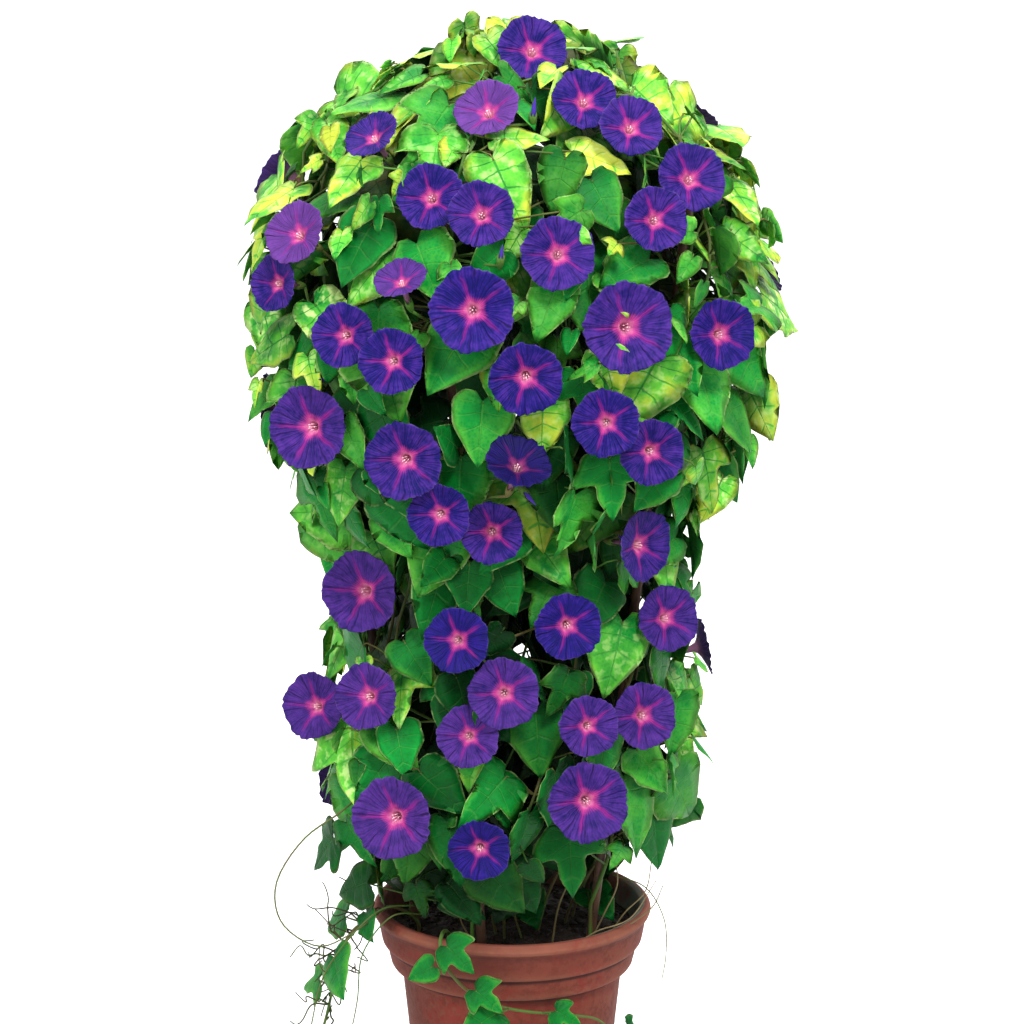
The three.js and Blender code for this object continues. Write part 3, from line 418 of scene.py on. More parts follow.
def outward(point, lean):
    """Unit vector away from the canopy at a point, tipped upwards by lean and by the canopy's slope."""
    slope = (canopy_radius(point[2] - 20) - canopy_radius(point[2] + 20)) / 40
    return unit(unit(point * (1, 1, 0)) + UP * (lean + min(max(slope, -0.2), 1.5)))


def aimed(direction, turn, lift):
    """Turns a direction about the upright axis, then lifts it towards the zenith."""
    around = turned(direction, UP, turn)
    return turned(around, unit(np.cross(around, UP)), lift)


def bloom_item(centre, axis, diameter, front):
    """A flower as a funnel of triangles, with its calyx and stalk as bars."""
    radius = diameter / 2
    length = radius * (BLOOM_DEPTH + BLOOM_TUBE)
    side = unit(np.cross(axis, UP))
    other = np.cross(axis, side)
    angles = 2 * np.pi * np.arange(BLOOM_SIDES)[:, None] / BLOOM_SIDES
    spokes = np.cos(angles) * side + np.sin(angles) * other
    rim = centre + spokes * (radius + 3)
    waist = centre - axis * BLOOM_DEPTH * radius + spokes * THROAT * radius
    calyx = centre - axis * (length + GAP)
    neck = calyx - axis * CALYX_LENGTH
    base = centre - axis * length
    socket = socket_for(neck)
    owner = OWNERS[socket.node]
    item = SimpleNamespace(kind="bloom", front=front, centre=centre, axis=axis, side=side, radius=radius,
                           calyx=calyx, neck=neck, length=length, socket=socket)
    throat = centre - axis * BLOOM_DEPTH * radius
    bars = [
        (throat, base, THROAT * radius, 1000 + id(item) % 10 ** 9),
        (calyx, neck, CALYX_RADIUS, owner),
        (neck, step_from(socket, neck), 1.5, owner),
    ]
    rim2, waist2 = np.roll(rim, -1, 0), np.roll(waist, -1, 0)
    c, b = np.broadcast_to(centre, rim.shape), np.broadcast_to(base, rim.shape)
    item.faces = np.concatenate([
        np.stack(f, 1) for f in ((c, rim, rim2), (rim, waist, rim2), (waist, waist2, rim2), (waist, b, waist2))
    ])
    item.edges = np.concatenate([
        *(skin_lines(*bar[:3]) for bar in bars[1:]),
        *(np.stack(e, 1) for e in ((rim, rim2), (rim, waist), (waist, b))),
    ])
    gaze = unit(EYE - centre) if centre[1] < 0 else axis
    seen = np.concatenate([[centre], (centre + spokes * 0.72 * radius)[::2]])
    item.sights = np.stack([seen + gaze * 2, seen + gaze * 190], 1)
    return bounded(item, bars)


def blade_droop(u, v, length):
    """Height of a blade's middle surface: it arches across, and its tip bends down."""
    return -length * (0.28 * v * v + 0.1 * np.maximum(u, 0) ** 2)


def petiole_path(item):
    """Straight from the socket to the notch where that comes in from behind, and otherwise by way of a knee."""
    strut = unit(item.root - item.socket.point)
    wanted = math.atan2(strut @ item.heading, strut @ item.normal)

    def arrival(slant):
        return item.normal * math.cos(slant) + item.heading * math.sin(slant)
    if strut @ arrival(min(max(wanted, STRAIGHT_SLANTS[0]), STRAIGHT_SLANTS[1])) > STRAIGHT_ENOUGH:
        return [item.socket.point, item.root]
    return [item.socket.point, item.root - arrival(KNEE_SLANT) * KNEE_LENGTH, item.root]


def leaf_item(root, heading, normal, length, lobed, socket=None):
    """A leaf as a fan of triangles about two points of its midrib, with its petiole as bars."""
    socket = socket or socket_for(root)
    across = np.cross(normal, heading)

    def at(u, v):
        u, v = np.asarray(u, float), np.asarray(v, float)
        droop = blade_droop(u, v, length)
        return root + heading * (u * length)[..., None] + across * (v * length)[..., None] + normal * droop[..., None]
    left = np.array([(0, PETIOLE_RADIUS / length), *(LOBED if lobed else HEART)])
    loop = np.concatenate([left, [(1, 0)], left[::-1] * (1, -1)])
    outline = at(loop[:, 0] * 1.05, loop[:, 1] * 1.05)
    ribs = at([0.12, 0.5], [0, 0])
    count, turn_at = len(loop), 5 if lobed else 3
    half = (count - 1) / 2
    faces, spokes = [(ribs[0], outline[-1], outline[0])], []
    for k in range(count - 1):
        from_tip = min(k, count - 2 - k)
        rib = ribs[0] if from_tip < turn_at else ribs[1]
        faces.append((rib, outline[k], outline[k + 1]))
        if from_tip == turn_at - 1:
            faces.append((ribs[0], outline[k + 1 if k < half else k], ribs[1]))
        spokes.append((rib, outline[k]))
    rims = [np.stack([outline[:-1] + s, outline[1:] + s], 1) for s in (normal * 1.6, normal * -1.6)]
    item = SimpleNamespace(kind="leaf", root=root, heading=heading, normal=normal, length=length, lobed=lobed,
                           socket=socket, sights=NONE, faces=np.array(faces))
    item.stops = petiole_path(item)
    stops = [step_from(socket, item.stops[1]), *item.stops[1:]]
    bars = [(a, b, PETIOLE_RADIUS, OWNERS[socket.node]) for a, b in zip(stops, stops[1:])]
    item.edges = np.concatenate([*rims, spokes, [ribs], *(skin_lines(*bar[:3]) for bar in bars)])
    return bounded(item, bars)


def leaf_at(centre, normal, hint, length, lobed):
    """A leaf whose blade has its middle at a point and its tip along the hint."""
    heading = unit(hint - normal * (hint @ normal))
    return leaf_item(centre - heading * 0.42 * length, heading, normal, length, lobed)


def heading_seen(normal, centre, degrees):
    """A heading in the blade's plane that is seen from EYE in the given direction."""
    sight = unit(centre - EYE)
    right = unit(np.cross(sight, UP))
    above = np.cross(right, sight)
    wanted = right * math.cos(math.radians(degrees)) + above * math.sin(math.radians(degrees))
    slide = -(wanted @ normal) / (sight @ normal)
    return unit(wanted + sight * min(max(slide, -3), 3))


def run_item(points, radius, owner):
    """A run of bars as an item of its own."""
    bars = [(a, b, radius, owner) for a, b in zip(points, points[1:])]
    edges = np.concatenate([skin_lines(*bar[:3]) for bar in bars])
    return bounded(SimpleNamespace(kind="run", faces=np.zeros((0, 3, 3)), sights=NONE, edges=edges), bars)


def pot_item():
    """The pot's outer wall, rim and soil as triangles."""
    angles = 2 * np.pi * np.arange(POT_SIDES) / POT_SIDES
    rings = np.array([polar(reach, angles, height) for reach, height in POT_GUARD])
    low, high = rings[:-1].reshape(-1, 3), rings[1:].reshape(-1, 3)
    low2, high2 = np.roll(rings[:-1], -1, 1).reshape(-1, 3), np.roll(rings[1:], -1, 1).reshape(-1, 3)
    faces = np.concatenate([np.stack([low, low2, high2], 1), np.stack([low, high2, high], 1)])
    edges = np.concatenate([np.stack([low, high], 1), np.stack([high, high2], 1)])
    return bounded(SimpleNamespace(kind="pot", faces=faces, sights=NONE, edges=edges), [])


def place_blooms(placed):
    """The front's flowers, where they are seen, then the others on a golden-angle spiral."""
    nudges = [(push, *aim) for aim in BLOOM_AIMS for push in BLOOM_PUSHES]
    for across, up, diameter, turn, lift in FRONT_BLOOMS:
        def tries():
            for push, yaw, pitch in nudges:
                centre = on_canopy(across, up, BLOOM_PROUD + push)
                facing = unit(outward(centre, 0.1) + unit(EYE - centre))
                axis = aimed(facing, turn + yaw, lift + pitch)
                yield lambda: bloom_item(centre, axis, diameter, True)
        placed.settle(tries())
    draw = seeded(4711)
    for i in range(BACK_BLOOMS):
        share = (i * 0.618034 + 0.31) % 1
        angle = math.radians(BACK_ARC[0] + share * (BACK_ARC[1] - BACK_ARC[0]))
        height = BACK_HEIGHTS[0] + (BACK_HEIGHTS[1] - BACK_HEIGHTS[0]) * (i + 0.5) / BACK_BLOOMS
        diameter, turn, lift = draw(58, 80), draw(-16, 16), draw(-4, 14)

        def tries():
            for push, yaw, pitch in nudges:
                centre = polar(canopy_radius(height) + BLOOM_PROUD + push, angle, height)
                axis = aimed(outward(centre, 0.15), turn + yaw, lift + pitch)
                yield lambda: bloom_item(centre, axis, diameter, False)
        placed.settle(tries())


def place_leaves(placed):
    """The front's leaves, where they are seen, those of the trailing stems, then the rest like shingles."""
    for across, up, length, seen, lift, turn, lobed, yellow in FRONT_LEAVES:
        def tries():
            for twist in LEAF_TWISTS:
                for push in LEAF_PUSHES:
                    centre = on_canopy(across, up, push)
                    facing = unit(outward(centre, 0.05) + unit((EYE - centre) * (1, 1, 0)))
                    normal = aimed(facing, turn, lift)
                    heading = heading_seen(normal, centre, seen + twist)
                    yield lambda: leaf_at(centre, normal, heading, length, lobed)
        placed.settle(tries()).yellow = yellow
    for name, (_, leaves) in TRAILS.items():
        path = TRAIL_PATHS[name]
        for share, length, hand in leaves:
            point = path[math.floor(share * (len(path) - 1) + 0.5)]
            away = unit(point * (1, 1, 0))
            sideways = np.cross(away, UP) * hand
            normal = aimed(away, 0, 24)
            heading = unit(sideways * 0.7 - UP * 0.5)
            heading = unit(heading - normal * (heading @ normal))
            socket = SimpleNamespace(point=point, node=name, index=None)

            def tries():
                for spread in TRAIL_SPREADS:
                    root = point + sideways * 12 + away * spread + UP * 5
                    yield lambda: leaf_item(root, heading, normal, length, share % 0.2 > 0.1, socket)
            placed.settle(tries())
    draw = seeded(90210)
    filled = i = 0
    while i < FILL_TRIES and filled < FILL_LEAVES:
        share = ((i * 0.754877 + 0.5) % 1) ** FILL_CROWDING
        height = FILL_HEIGHTS[0] + (FILL_HEIGHTS[1] - FILL_HEIGHTS[0]) * share
        length = draw(*FILL_LENGTHS)
        depth, lift, turn, roll = draw(-30, 6), draw(14, 46), draw(-24, 24), draw(-45, 45)
        lobed = draw(0, 1) < 0.25
        centre = polar(max(canopy_radius(height) + depth, 6), i * GOLDEN_ANGLE, height)
        normal = aimed(outward(centre, 0), turn, lift)
        heading = turned(unit(normal * normal[2] - UP), normal, roll)
        filled += placed.settle([lambda: leaf_at(centre, normal, heading, length, lobed)]) is not None
        i += 1


def lay_out():
    """Places everything that the frame's solids hold, in the same order and by the same rules as they do."""
    placed = Placed()
    placed.add(pot_item())
    for i in range(CANES):
        ends = np.array([cane_point(i, SOIL_TOP - CANE_SUNK), cane_point(i, CANE_HEAD[1])])
        placed.add(run_item(ends, CANE_RADIUS, 20 + i))
    for i, path in enumerate(STEMS):
        placed.add(run_item(path[2:], STEM_RADIUS, i))
    for name, path in TRAIL_PATHS.items():
        placed.add(run_item(path[4:], STEM_RADIUS, OWNERS[name]))
    place_blooms(placed)
    place_leaves(placed)
    return placed


# ---- Settings -----------------------------------------------------------------------------------

def length_prop(label, words, default):
    return bpy.props.FloatProperty(name=label, description=words, default=default * MM, unit="LENGTH")


def colour_prop(label, words, default):
    return bpy.props.FloatVectorProperty(name=label, description=words, default=default, subtype="COLOR",
                                         size=3, min=0, max=1)


def share_prop(label, words, default):
    return bpy.props.FloatProperty(name=label, description=words, default=default, min=0, max=4, subtype="FACTOR")


class GloryLeafSettings(bpy.types.PropertyGroup):
    thickness: length_prop("Blade thickness", "Thickness of a leaf blade at its middle", 0.6)
    petiole: length_prop("Petiole radius", "Radius of a leaf's stalk", 1.05)
    extra: bpy.props.IntProperty(name="Inner leaves", default=1650, min=0,
                                 description="Leaves that fill the canopy between the marked ones")
    dark: colour_prop("Shaded green", "Colour of leaves in the shade", (0.0008, 0.036, 0.006))
    green: colour_prop("Leaf green", "Colour of an ordinary leaf", (0.0025, 0.170, 0.021))
    young: colour_prop("Young green", "Colour of young and sunlit leaves", (0.095, 0.40, 0.034))
    yellow: colour_prop("Yellow", "Colour of yellowing leaves", (0.46, 0.55, 0.048))


class GloryFlowerSettings(bpy.types.PropertyGroup):
    frill: share_prop("Frill", "Depth of the waves at a petal's edge, as a share of the flower's radius", 0.04)
    notch: share_prop("Lobes", "Depth of the five lobes, as a share of the flower's radius", 0.035)
    deep: colour_prop("Deep violet", "Darkest petal colour", (0.003, 0.003, 0.070))
    violet: colour_prop("Violet", "Usual petal colour", (0.018, 0.007, 0.180))
    light: colour_prop("Light purple", "Colour of older petals", (0.155, 0.045, 0.230))
    ray: colour_prop("Ray", "Colour of the five rays", (0.230, 0.010, 0.175))
    throat: colour_prop("Throat", "Colour round the flower's centre", (0.56, 0.055, 0.27))


class GloryPotSettings(bpy.types.PropertyGroup):
    sides: bpy.props.IntProperty(name="Steps round", description="Steps round the pot", default=144, min=24)
    clay: colour_prop("Clay", "Colour of the fired clay", (0.160, 0.036, 0.020))
    worn: colour_prop("Worn clay", "Colour of rubbed and dusty clay", (0.20, 0.066, 0.037))
    earth: colour_prop("Soil", "Colour of the soil", (0.012, 0.008, 0.006))
    bark: colour_prop("Cane", "Colour of the canes", (0.045, 0.022, 0.013))


SETTINGS = {"glory_leaf": GloryLeafSettings, "glory_flower": GloryFlowerSettings, "glory_pot": GloryPotSettings}


def made(*names):
    """Materials that are there already."""
    return [bpy.data.materials[name] for name in names]


def settings(name):
    return getattr(bpy.context.scene, name)


# ---- Shader maths -------------------------------------------------------------------------------

class Wire:
    """A shader value that can be added, multiplied and so on. Each operator adds a Math node."""

    def __init__(self, finish, socket):
        self.finish, self.socket = finish, socket

    def math(self, operation, *others):
        values = [self, *others]
        node = self.finish.add("ShaderNodeMath", {"operation": operation}, dict(enumerate(values)))
        return Wire(self.finish, node.outputs[0])

    def __add__(self, other):
        return self.math("ADD", other)

    def __mul__(self, other):
        return self.math("MULTIPLY", other)

    def __sub__(self, other):
        return self.math("SUBTRACT", other)

    def __rsub__(self, other):
        return self * -1 + other

    def __truediv__(self, other):
        return self.math("DIVIDE", other)

    __radd__ = __add__
    __rmul__ = __mul__

    def clamped(self):
        return self.math("MAXIMUM", 0).math("MINIMUM", 1)

    def smooth(self, low, high):
        """0 below low, 1 above high, and a smooth step between, or the other way round if low is more."""
        ends = {1: min(low, high), 2: max(low, high), 3: float(low > high), 4: float(low <= high)}
        node = self.finish.add("ShaderNodeMapRange", {"interpolation_type": "SMOOTHSTEP"}, {0: self, **ends})
        return Wire(self.finish, node.outputs[0])

    def triangle(self, count, shift=0.0):
        """Distance to the nearest of evenly spaced lines, count of them to a unit: 0 on a line, 1 half way."""
        return (self * count + shift).math("PINGPONG", 0.5) * 2


class Finish:
    """A material with one Principled shader."""

    def __init__(self, name):
        self.material = bpy.data.materials.new(name)
        self.material.use_nodes = True
        self.tree = self.material.node_tree
        self.shader = self.tree.nodes["Principled BSDF"]

    def add(self, kind, how, inputs):
        """A node of a kind, with its settings first and then the values or links of its sockets."""
        node = self.tree.nodes.new(kind)
        for key, value in how.items():
            setattr(node, key, value)
        for key, value in inputs.items():
            if isinstance(value, Wire):
                self.tree.links.new(value.socket, node.inputs[key])
            else:
                node.inputs[key].default_value = value
        return node

    def attribute(self, name):
        """The three parts of a vector that the mesh carries."""
        vector = self.add("ShaderNodeAttribute", {"attribute_name": name}, {}).outputs["Vector"]
        parts = self.add("ShaderNodeSeparateXYZ", {}, {0: Wire(self, vector)})
        return [Wire(self, out) for out in parts.outputs]

    def place(self):
        """The point on the object, in metres."""
        return Wire(self, self.add("ShaderNodeTexCoord", {}, {}).outputs["Object"])

    def noise(self, scale, detail=3.0, rough=0.55):
        """Soft noise between about 0.25 and 0.75."""
        inputs = {"Vector": self.place(), "Scale": scale, "Detail": detail, "Roughness": rough}
        return Wire(self, self.add("ShaderNodeTexNoise", {}, inputs).outputs[0])

    def cells(self, scale):
        """Distance to the nearest point of a scattered set."""
        node = self.add("ShaderNodeTexVoronoi", {}, {"Vector": self.place(), "Scale": scale})
        return Wire(self, node.outputs["Distance"])

    def vector(self, x, y, z):
        return Wire(self, self.add("ShaderNodeCombineXYZ", {}, {0: x, 1: y, 2: z}).outputs[0])

    def mix(self, share, first, second, blend="MIX"):
        """Second over first by share."""
        how = {"data_type": "RGBA", "blend_type": blend}
        ends = {6: first, 7: second}
        ends = {key: end if isinstance(end, Wire) else (*end, 1.0) for key, end in ends.items()}
        node = self.add("ShaderNodeMix", how, {0: share, **ends})
        return Wire(self, node.outputs[2])

    def ramp(self, value, stops):
        """Colours between stops of (place, colour)."""
        node = self.add("ShaderNodeValToRGB", {}, {0: value})
        elements = node.color_ramp.elements
        while len(elements) < len(stops):
            elements.new(0.5)
        for element, (place, rgb) in zip(elements, stops):
            element.position = place
            element.color = (*rgb, 1.0)
        return Wire(self, node.outputs[0])

    def bump(self, height, strength, distance):
        inputs = {"Strength": strength, "Distance": distance, "Height": height}
        return Wire(self, self.add("ShaderNodeBump", {}, inputs).outputs[0])

    def done(self, **inputs):
        """Sets or links the shader's sockets, named with _ for a space, and returns the material."""
        for key, value in inputs.items():
            socket = self.shader.inputs[key.replace("_", " ")]
            if isinstance(value, Wire):
                self.tree.links.new(value.socket, socket)
            else:
                socket.default_value = value
        return self.material


# Every point carries two vectors, "spot" and "tone".
# A leaf carries "spot" (share from notch to tip, share from midrib to margin, 1 underneath) and "tone"
# (yellowness, light from 0 to 1, a number of its own). A flower carries "spot" (share of its radius, turns
# about its axis, 0 petal, 1 tube, 2 stamens) and "tone" (paleness, which below 0 paints shade, redness, a number of
# its own).
NO_SPOT = np.zeros(3)
PLAIN_TONE = np.array([0, 1, 0.5])
STAMEN_SPOT = np.array([0.1, 0, 2.0])


def leaf_finish():
    """Green by yellowness, mottled, with veins, a thin pale margin and a paler underside. Dark blades have
    faint pale veins. Light ones keep their green along the veins, and between them turn pale in patches,
    partly by bleaching and partly as a painted highlight."""
    look = settings("glory_leaf")
    f = Finish("leaf_blade")
    run, side, under = f.attribute("spot")
    yellow, light, seed = f.attribute("tone")
    out = side.math("ABSOLUTE")
    midrib = out.smooth(0.05, 0.012)
    cloud = f.noise(34.0, 3.0)
    fine = f.noise(90.0, 2.0)
    wobble = cloud * 0.08
    lateral = (run + wobble + out * 0.01).triangle(6.0, 0.5).smooth(0.15, 0.03) * out.smooth(1.0, 0.5)
    vein = (midrib + lateral * 0.8).clamped()
    net = f.cells(330.0).smooth(0.25, 0.6)
    ripe = yellow.smooth(0.45, 0.7)
    mottle = (cloud - 0.5) * (ripe * 0.9 + 0.3)
    stain = f.noise(13.0, 2.0).smooth(0.52, 0.7) * ripe
    tint = yellow - under * ripe * 0.15 + mottle - vein * (ripe * 0.3 - 0.03) + (run - 0.5) * 0.08 + stain * 0.2
    tint = tint + (net - 0.5) * 0.04 + out.smooth(0.45, 1.0) * 0.15 - 0.055
    stops = ((0.05, look.dark), (0.4, look.green), (0.7, look.young), (0.98, look.yellow))
    colour = f.ramp(tint, stops)
    colour = f.mix(vein * 0.08, colour, (0.22, 0.42, 0.10))
    # Pale patches between the veins: partly bleaching, partly a painted highlight.
    bleach_and_highlight = fine.smooth(0.5, 0.66) * ripe * (1 - vein)
    bleach_and_highlight_strength = seed.smooth(0.72, 0.9) * 0.5 + 0.35
    colour = f.mix(bleach_and_highlight * bleach_and_highlight_strength, colour, (0.52, 0.64, 0.24))
    margin = out.smooth(0.9, 0.985) * fine.smooth(0.3, 0.55)
    colour = f.mix(margin * 0.7, colour, (0.40, 0.60, 0.20))
    colour = f.mix(under * 0.25, colour, (0.10, 0.26, 0.08))
    shade = (light * 0.97 + 0.03) * ((fine - 0.5) * 0.5 + 1.0) * ((seed - 0.5) * 0.5 + 1.0)
    shade = shade * (run.smooth(0.0, 0.6) * 0.5 + 0.62)
    colour = f.mix(1.0, colour, f.vector(shade, shade, shade), "MULTIPLY")
    height = vein * -0.7 + fine * 0.5 + net * 0.06 + cloud * 1.5
    rough = cloud * 0.25 + 0.34 + under * 0.15
    return f.done(Base_Color=colour, Roughness=rough, Normal=f.bump(height, 0.7, 0.0016),
                  Specular_IOR_Level=0.08)


def stem_finish():
    """Green, reddish in places, and straw-coloured where it is dry."""
    f = Finish("green_stem")
    dry, light, _ = f.attribute("tone")
    fine = f.noise(120.0, 2.0)
    green = f.mix(f.noise(24.0, 2.0).smooth(0.42, 0.66), (0.035, 0.13, 0.012), (0.10, 0.045, 0.02))
    green = f.mix(fine * 0.4, green, (0.12, 0.26, 0.04))
    colour = f.mix(dry.clamped(), green, f.mix(fine, (0.42, 0.34, 0.16), (0.16, 0.10, 0.05)))
    shade = light * 0.9 + 0.1
    colour = f.mix(1.0, colour, f.vector(shade, shade, shade), "MULTIPLY")
    return f.done(Base_Color=colour, Roughness=fine * 0.2 + 0.5,
                  Normal=f.bump(fine, 0.4, 0.001), Specular_IOR_Level=0.2)


def petal_finish():
    """Violet with painted shade along ten creases, five magenta rays, fine radial streaks, a pink throat that sends
    out short spikes, a white heart and a painted sheen along the edge. A paleness below 0 paints shade over the
    flower."""
    look = settings("glory_flower")
    f = Finish("petal")
    out, turn, part = f.attribute("spot")
    pale, red, seed = f.attribute("tone")
    ragged = turn + (f.noise(48.0, 2.0) - 0.5) * 0.05
    ray = ragged.triangle(5.0, 0.0)
    streak = (ragged + seed).triangle(37.0) * 0.5 + (ragged + seed).triangle(71.0, 0.3) * 0.5
    mottle = f.noise(95.0, 3.0, 0.65)
    tone = mottle.smooth(0.3, 0.7) * 0.7 + streak * 0.7 - 0.2
    base = f.mix(tone.clamped(), look.deep, look.violet)
    base = f.mix((pale * 0.85 + (mottle - 0.5) * 0.7 + (streak - 0.5) * 0.12).clamped(), base, look.light)
    width = (1.0 - out).math("MAXIMUM", 0.03) * (red * 0.2 + 0.28)
    star = (ray / width).smooth(1.35, 0.0) * out.smooth(1.0, 0.5) * (streak * 0.6 + 0.5)
    colour = f.mix((star * (red * 0.75 + 0.25)).clamped(), base, look.ray)
    # Ten creases: shallow grooves in the bump, with painted shade along them.
    crease = (ragged + seed * 0.02).triangle(10.0, 0.5).smooth(0.14, 0.02) * out.smooth(0.3, 0.6)
    colour = f.mix(crease * mottle.smooth(0.4, 0.6) * 0.8, colour, (0.002, 0.001, 0.022))
    # A painted sheen along the petal's edge.
    edge = out.smooth(0.955, 1.0) * mottle.smooth(0.4, 0.6)
    colour = f.mix(edge * 0.3, colour, (0.17, 0.12, 0.34))
    spike = f.noise(130.0, 2.0) * 0.16 - ray * 0.09 + streak * 0.08
    glow = (out - spike).smooth(0.30, 0.06)
    colour = f.mix(glow, colour, look.throat)
    white = (out - spike * 0.5).smooth(0.19, 0.06)
    colour = f.mix(white * 0.5, colour, (0.92, 0.46, 0.64))
    # A paleness below 0 paints shade over the flower, towards black violet.
    colour = f.mix(pale.smooth(0.0, -0.6) * 0.7, colour, (0.004, 0.003, 0.03))
    tube = part.smooth(0.5, 1.0)
    outside = f.mix(out.smooth(0.15, 0.6), (0.30, 0.13, 0.19), (0.05, 0.02, 0.15))
    outside = f.mix(streak * 0.5, outside, (0.10, 0.045, 0.20))
    colour = f.mix(tube, colour, outside)
    colour = f.mix(part.smooth(1.5, 2.0), colour, (0.92, 0.56, 0.60))
    height = streak * 0.9 + star * 0.3 + mottle * 0.6 - crease * 0.8
    return f.done(Base_Color=colour, Roughness=mottle * 0.2 + 0.5, Normal=f.bump(height, 0.7, 0.0011),
                  Specular_IOR_Level=0.1)


def clay_finish():
    """Fired clay in two tones, rubbed edges partly lit by a painted highlight, painted shade in the corners and under
    the bands, and a grey stain inside the rim.
    """
    look = settings("glory_pot")
    f = Finish("terracotta")
    _, wear_highlight_and_shade, inner = f.attribute("spot")
    cloud = f.noise(9.0, 5.0)
    fine = f.noise(90.0, 4.0, 0.7)
    colour = f.mix(cloud.smooth(0.3, 0.72), look.clay, (0.112, 0.023, 0.014))
    colour = f.mix(f.noise(22.0, 4.0).smooth(0.5, 0.75) * 0.35, colour, look.worn)
    colour = f.mix(fine.smooth(0.46, 0.62) * 0.6, colour, (0.085, 0.017, 0.011))
    # Rubbed edges, with a painted highlight where the convex edges catch the light.
    colour = f.mix((wear_highlight_and_shade * (fine * 1.6)).clamped() * 0.6, colour, (0.32, 0.125, 0.075))
    blush = f.noise(12.0, 3.0).smooth(0.42, 0.62) * f.noise(150.0, 3.0).smooth(0.35, 0.6)
    colour = f.mix(blush * 0.6, colour, (0.170, 0.014, 0.010))
    # Painted shade in the concave corners and under the bands, made patchy by noise.
    band_shade = (wear_highlight_and_shade * -1).smooth(0.0, 0.7) * (f.noise(30.0) * 0.8 + 0.6)
    colour = f.mix(band_shade.clamped() * 0.9, colour, (0.035, 0.008, 0.006))
    stain = inner * f.noise(18.0, 4.0).smooth(0.28, 0.5)
    colour = f.mix(stain * 0.95, colour, (0.12, 0.14, 0.105))
    speck = f.cells(420.0).smooth(0.16, 0.05) * 0.4
    colour = f.mix(speck, colour, (0.12, 0.045, 0.03))
    relief = fine * 0.8 + f.noise(300.0, 2.0) * 0.35 + speck * -0.4 + cloud * 0.3
    return f.done(Base_Color=colour, Roughness=fine * 0.25 + 0.66, Normal=f.bump(relief, 0.45, 0.0012),
                  Specular_IOR_Level=0.25)


def soil_finish():
    """Dark moist earth with paler grains."""
    look = settings("glory_pot")
    f = Finish("potting_soil")
    grain = f.cells(260.0)
    colour = f.mix(f.noise(70.0, 4.0), look.earth, (0.022, 0.015, 0.011))
    colour = f.mix(grain.smooth(0.2, 0.08) * 0.35, colour, (0.08, 0.055, 0.035))
    relief = f.noise(120.0, 5.0) + grain * 0.5
    return f.done(Base_Color=colour, Roughness=f.noise(50.0) * 0.3 + 0.6, Normal=f.bump(relief, 0.8, 0.003),
                  Specular_IOR_Level=0.2)


def cane_finish():
    """Weathered brown cane with streaks along it and darker nodes."""
    look = settings("glory_pot")
    f = Finish("garden_cane")
    _, node, _ = f.attribute("spot")
    streak = f.noise(45.0, 5.0)
    colour = f.mix(streak.smooth(0.35, 0.7), look.bark, (0.10, 0.045, 0.022))
    colour = f.mix(node * 0.7, colour, (0.05, 0.022, 0.012))
    colour = f.mix(f.noise(160.0).smooth(0.55, 0.75) * 0.3, colour, (0.2, 0.13, 0.08))
    return f.done(Base_Color=colour, Roughness=streak * 0.3 + 0.45, Normal=f.bump(streak + node * 0.2, 0.4, 0.001),
                  Specular_IOR_Level=0.3)


# ---- Surfaces -----------------------------------------------------------------------------------

def smooth_lookup(table, x):
    """Cubic curve through a table's evenly spaced rows, whose slopes are half the step to the neighbours."""
    table = np.asarray(table, float)
    slopes = np.gradient(table, axis=0)
    k = np.minimum((x * (len(table) - 1)).astype(int), len(table) - 2)
    w = (x * (len(table) - 1) - k)[:, None]
    a, b, ta, tb = table[k], table[k + 1], slopes[k], slopes[k + 1]
    return a + ta * w + (3 * (b - a) - 2 * ta - tb) * w ** 2 + (2 * (a - b) + ta + tb) * w ** 3


def quads(rows, columns, wrap=False):
    """Faces of a grid of points, row by row. Wrap joins the last column to the first."""
    i, j = np.meshgrid(np.arange(rows - 1), np.arange(columns - (not wrap)), indexing="ij")
    a, b = i * columns + j, i * columns + (j + 1) % columns
    return np.stack([a, a + columns, b + columns, b], -1).reshape(-1, 4)


def ring_faces(rings, columns):
    """Faces of closed rings of points, ring by ring, with a point after them that closes each end."""
    k = np.arange(columns)
    low, high, top = rings * columns, rings * columns + 1, (rings - 1) * columns
    return [
        quads(rings, columns, True)[:, ::-1],
        np.stack([np.full(columns, low), (k + 1) % columns, k], 1),
        np.stack([np.full(columns, high), top + k, top + (k + 1) % columns], 1),
    ]


